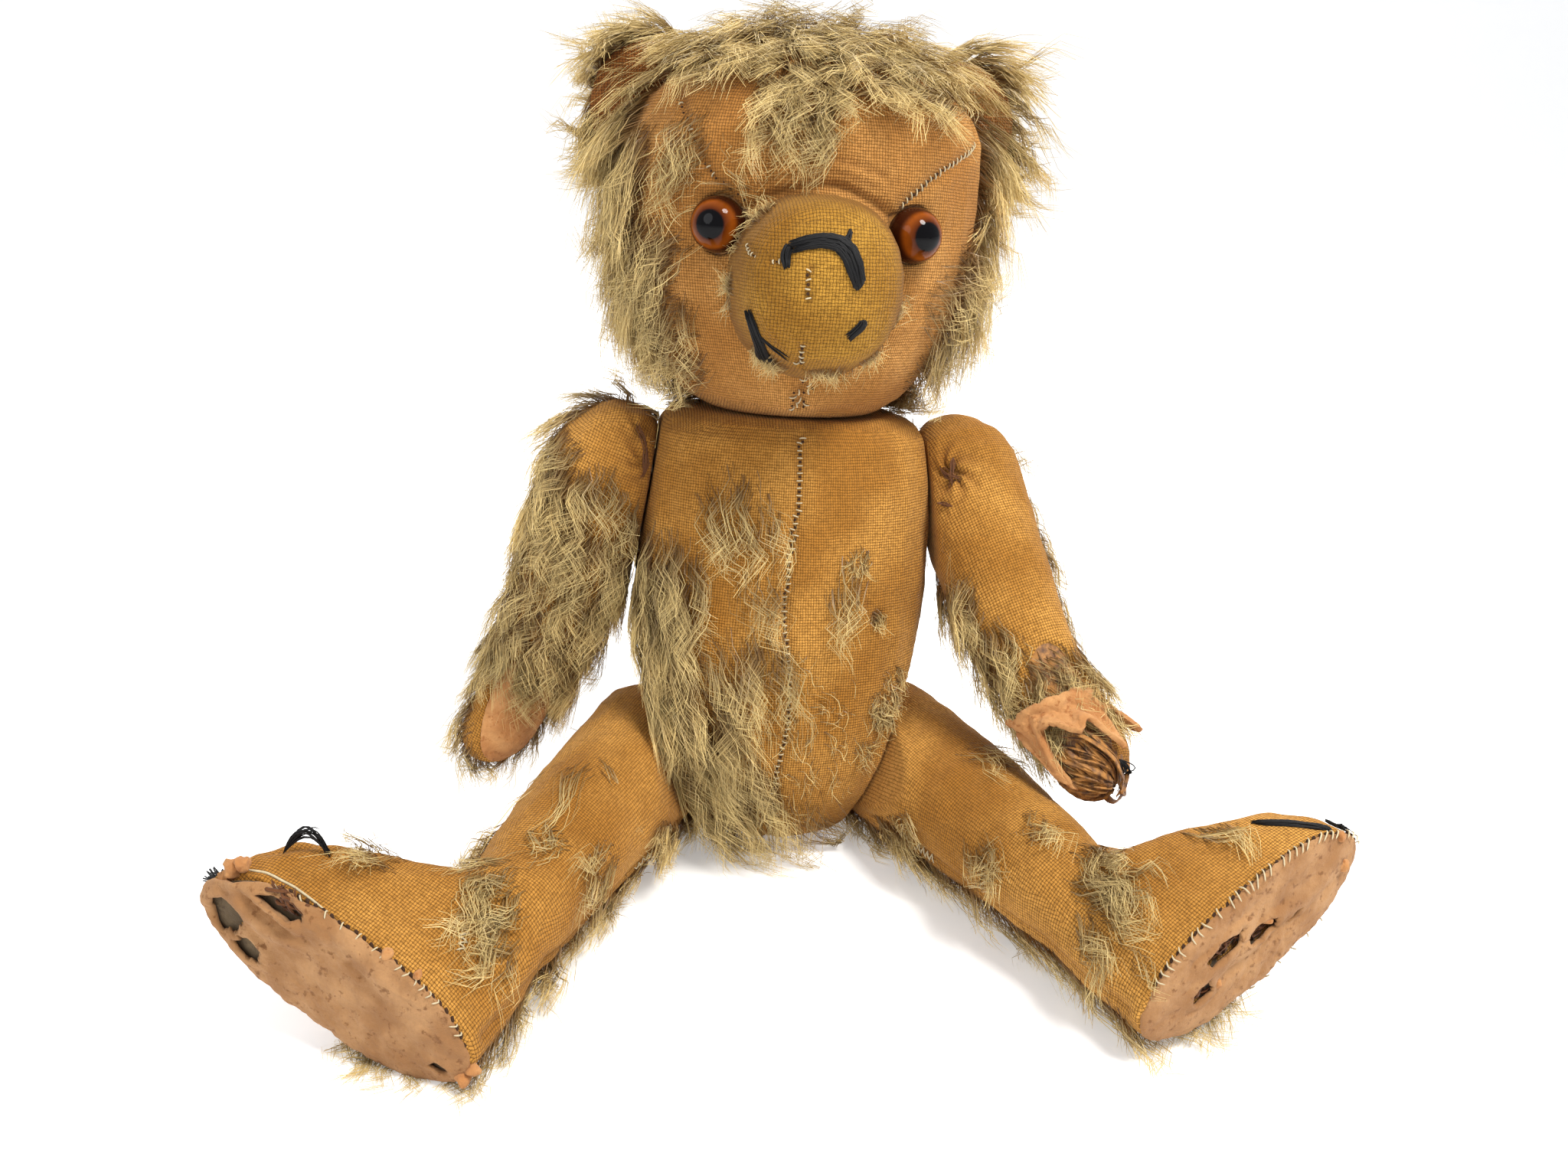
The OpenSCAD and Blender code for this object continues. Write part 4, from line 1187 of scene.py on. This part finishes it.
def sole_wool(side, x, y, reach, count=26):
    """Shavings in a hole of a sole."""
    axes = AXES[f"{side}_leg"]
    paths = []
    for _ in range(count):
        mid = np.array([x, y]) + DICE.normal(size=2) * [0.9, reach * 0.35]
        angle = DICE.normal() * 0.6
        half = DICE.uniform(1.5, 4) * np.array([math.sin(angle), math.cos(angle)])
        lift = DICE.uniform(-0.4, 0.5)
        paths.append(np.array([axes.world(*(mid + half * t), lift + DICE.normal() * 0.25 - 0.5 * t * t)
                               for t in (-1, -0.4, 0.3, 1)]))
    tubes(f"{side}_sole_wool_{y}", f"{side}_leg", paths, DICE.uniform(0.25, 0.5, count), BROWN, flat=0.35)


for hole in (("right", 5, 38, 6), ("left", 5, 1, 3), ("left", -2, 11, 6), ("left", 2, 22, 4)):
    sole_wool(*hole)


def lumps(name, body, places):
    """Rounded lumps of matted felt. A place is (x, y, z, radius) in the body's axes."""
    bm = bmesh.new()
    for x, y, z, radius in places:
        home = Matrix.Translation(AXES[body].world(x, y, z))
        for v in bmesh.ops.create_icosphere(bm, subdivisions=3, radius=radius * MM, matrix=home)["verts"]:
            v.co += noise.noise_vector(v.co / (1.6 * MM)) * 0.5 * radius * MM
    dress(add(name, mesh_of(bm, name)), PINK_FELT, body)


lumps("right_toe_felt", "right_leg", [(1, 52.5, -2, 2.3), (-2.5, 53, -1.5, 2.1), (-5.5, 52, -2, 1.8),
                                      (4, 51, -1.5, 1.7)])
lumps("right_heel_felt", "right_leg", [(-9, -16, 0, 1.8), (-6, -17, -1, 1.5), (8, 12, -1, 1.3), (8, 4, -1, 1.1)])
lumps("left_sole_lumps", "left_leg", [(5, 50, 0.5, 1.8), (-3, 52, 0, 1.2), (1, 24, 0.8, 1.4), (7, 6, 0.6, 1.3)])


def rim_stitches(name, side, start, end, pitch, reach, skip=0.2):
    """Cream overcast stitches over the edge between a foot and its sole, from one angle to another, with dark strips
    of painted shade for the needle holes between them."""
    axes, middle, _, edge = foot_pad(side)
    a = np.radians(np.linspace(start, end, 90))
    line = axes.world(middle[0] + np.cos(a) * edge(a), middle[1] + np.sin(a) * edge(a), np.full(90, 0.2))
    place, normal, way = along_line(line, ways(np.cos(a), np.sin(a), 0) @ axes.rows, pitch)
    t = np.linspace(-1, 1, 7)
    out = 0.9 + 0.1 * reach - 0.4 * t * t + 0.22 * np.maximum(-t, 0) - 1.2 * np.maximum(t, 0)
    bars = []
    for p, n, w in zip(place, normal, way):
        if DICE.random() >= skip:
            lean = DICE.normal() * 0.5 + 0.5
            bars.append(p + MM * (np.outer(out, n) + np.outer(0.9 * reach * t - 0.6, axes.z)
                                  + np.outer(lean * t, w)))
    tubes(name, f"{side}_leg", bars, 0.19, CREAM, steps=7)
    spot = place + MM * (pitch / 2 * way + 0.05 * normal - 1.3 * axes.z)
    pits = spot[:, None] + MM * np.linspace(-0.6, 0.6, 5)[None, :, None] * (way + 0.6 * axes.z)[:, None]
    tubes(name + "_hole_shade", f"{side}_leg", pits, 0.42, HOLE_SHADE, steps=5, taper=0.4)


rim_stitches("left_rim_stitches", "left", 88, 250, 2.1, 1.3)
rim_stitches("left_low_stitches", "left", -60, 60, 5.0, 1.6, 0.4)
rim_stitches("right_rim_stitches", "right", 60, -78, 2.2, 0.7, 0.35)
tubes("right_rim_thread", "right_leg", strands(
    "right_leg", [(2, 53, -2), (5, 48, -2), (7, 42, -2), (8, 35, -2), (8, 28, -2)], 1, [0.2, 0.2, 0.2], 0.5,
    loose=0.6), 0.3, CREAM, steps=24)


def wood_wool():
    m = Mat("wood_wool", 0.6, Sheen_Weight=0.1)
    m.colour(m.mix(m.ramp(m.noise(2.0, 3, offset=5), 0.3, 0.7), tone(78, 44, 12), tone(182, 124, 54)))
    m.bump(m.noise(0.4, 3), 0.15, 0.7)
    return m.material


WOOL = wood_wool()


def excelsior(name, body, centre, size, count, way, loose=6):
    """Wood wool: long flat shavings that wrap round an egg-shaped lump, a few of them sprung loose."""
    z = unit(way)
    x = unit(np.cross(z, (0.2, 1, 0.1)))
    y = np.cross(z, x)
    paths = []
    for i in range(count + loose):
        a = DICE.uniform(0, 2 * np.pi)
        swirl = DICE.normal() * 0.3 + 0.5
        begin, stop = DICE.uniform(1.3, 2.0), DICE.uniform(0.05, 0.6)
        shell = DICE.uniform(0.72, 1.0) if i < count else DICE.uniform(1.05, 1.2)
        t = np.linspace(begin, stop * -0.6 if i >= count else stop, 9)
        spin = a + swirl * (t - t[0])
        ball = (np.outer(np.sin(t) * np.cos(spin), x) + np.outer(np.sin(t) * np.sin(spin), y)
                + np.outer(np.cos(t), z))
        local = np.array(centre) + ball * np.array(size) * shell + DICE.normal(size=(9, 3)) * 0.15
        paths.append(AXES[body].world(*local.T))
    tubes(name, body, paths, DICE.uniform(0.4, 1.1, len(paths)), WOOL, steps=10, flat=0.22)


excelsior("left_paw_wool", "left_arm", (8.5, 0.5, 91), (9.8, 9.8, 13.8), 300, (0.35, 0.2, 1))
black_threads("left_paw_threads", "left_arm", loop("left_arm", (14, 4, 96), (16, 0, 100), 3, 14, 1.5), 0.17,
              "left_paw_claws", steps=12)


def torn_paw():
    """The felt pad of the left paw, torn open and pushed back into a ragged collar with hanging lobes."""
    u, v = np.meshgrid(np.linspace(-1, 1, 96), np.linspace(0, 1, 52))
    rough = rough_grid(u * 3.4, v * 1.6, 2.0, 4)
    angle = np.radians(18 + 112 * u)
    end = 84 + 2.5 * rough[-1]
    top = 77 + 2.0 * rough[3]
    for middle, wide, long in ((-0.72, 0.09, 18), (-0.22, 0.12, 6), (0.12, 0.12, 13), (0.6, 0.15, 8)):
        end += long * np.exp(-((u[0] - middle) / wide) ** 2)
    z = top + (end - top) * v
    lift = np.interp(u, [-1, -0.8, -0.3, 0.1, 0.4, 0.6, 1], [0.5, 0.8, 2.2, 2.6, 3.0, 7.5, 3.0])
    radius = 11.0 + lift * ease(v, 0.25, 1.0) + 1.8 * rough * (0.25 + v)
    radius += 1.2 * np.exp(-((v - 0.1) / 0.12) ** 2) - np.maximum(z - 96, 0) * 0.55
    x = 5.2 + (z - 76) * 0.17 + radius * np.sin(angle)
    y = -0.5 + radius * np.cos(angle) * 0.98
    obj = felt_sheet("left_paw_felt", "left_arm", AXES["left_arm"].world(x, y, z),
                     square_middles(v + 0.22 * rough) < 0.97, 1.5, PINK_FELT, 8)
    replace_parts(obj, "left_paw_pad")


def right_paw(n=36):
    """The felt pad of the right paw, worn thin."""
    skin = SKIN["right_arm"]
    pad = skin.axes.local(points_of(node("right_paw_pad")))
    middle, half = (pad.min(0) + pad.max(0)) / 2, (pad.max(0) - pad.min(0)) / 2
    u, v = disc_grid(n)
    grid = np.zeros((n, n, 3))
    for i, k in np.ndindex(n, n):
        place, normal = skin.front(middle[0] + u[i, k] * half[0] * 0.96, middle[2] + v[i, k] * half[2])
        grid[i, k] = place + normal * 0.7 * (1 - math.hypot(u[i, k], v[i, k]) ** 8) * MM
    obj = felt_sheet("right_paw_felt", "right_arm", grid, np.full((n - 1, n - 1), True), 1.1, PINK_FELT, 6)
    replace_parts(obj, "right_paw_pad")


torn_paw()
right_paw()


# ---- eyes and hidden hardware
def eye_material(side):
    """Amber glass with a black pupil and a dark rim, drawn by the distance from the eye's own axis."""
    low, high = (np.array(v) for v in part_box(f"{side}_eye"))
    shank = points_of(node(f"{side}_eye_shank")).mean(0)
    out = unit(points_of(node(f"{side}_eye")).mean(0) - shank)
    m = Mat(f"{side}_eye_glass", 0.06, IOR=1.5, Specular_IOR_Level=0.15)
    offset = m.node("VectorMath", m.place, (low + high) / 2, operation="SUBTRACT").outputs[0]
    cross = m.node("VectorMath", offset, out, operation="CROSS_PRODUCT").outputs[0]
    r = m.times(m.node("VectorMath", cross, operation="LENGTH").outputs[1], 1 / MM)
    iris = m.mix(m.ramp(r, 3.4, 5.8), tone(66, 24, 5), tone(142, 70, 14))
    iris = m.mix(m.ramp(m.noise(2.5, 3), 0.3, 0.7, 0.0, 0.4), iris, tone(96, 46, 10))
    glass = m.mix(m.ramp(r, 3.3, 3.9), tone(5, 4, 6), iris)
    m.colour(m.mix(m.ramp(r, 5.4, 6.4), glass, tone(52, 20, 8)))
    return m.material


STEEL = plain("steel", tone(150, 148, 144), 0.4, Metallic=1.0)
FIXED = {"stuffing": WOOL, "disc": plain("hardboard", tone(112, 78, 48), 0.8), "board": CARD,
         "washer": STEEL, "pin": STEEL, "shank": STEEL}
for name, obj in frame["nodes"].items():
    for ending, material in FIXED.items():
        if name.endswith(ending):
            take_material(obj, material)
for side in SIDES:
    take_material(node(f"{side}_eye"), eye_material(side))


# ---- end
add_camera()
add_stage()
bpy.context.scene.view_settings.view_transform = "Standard"
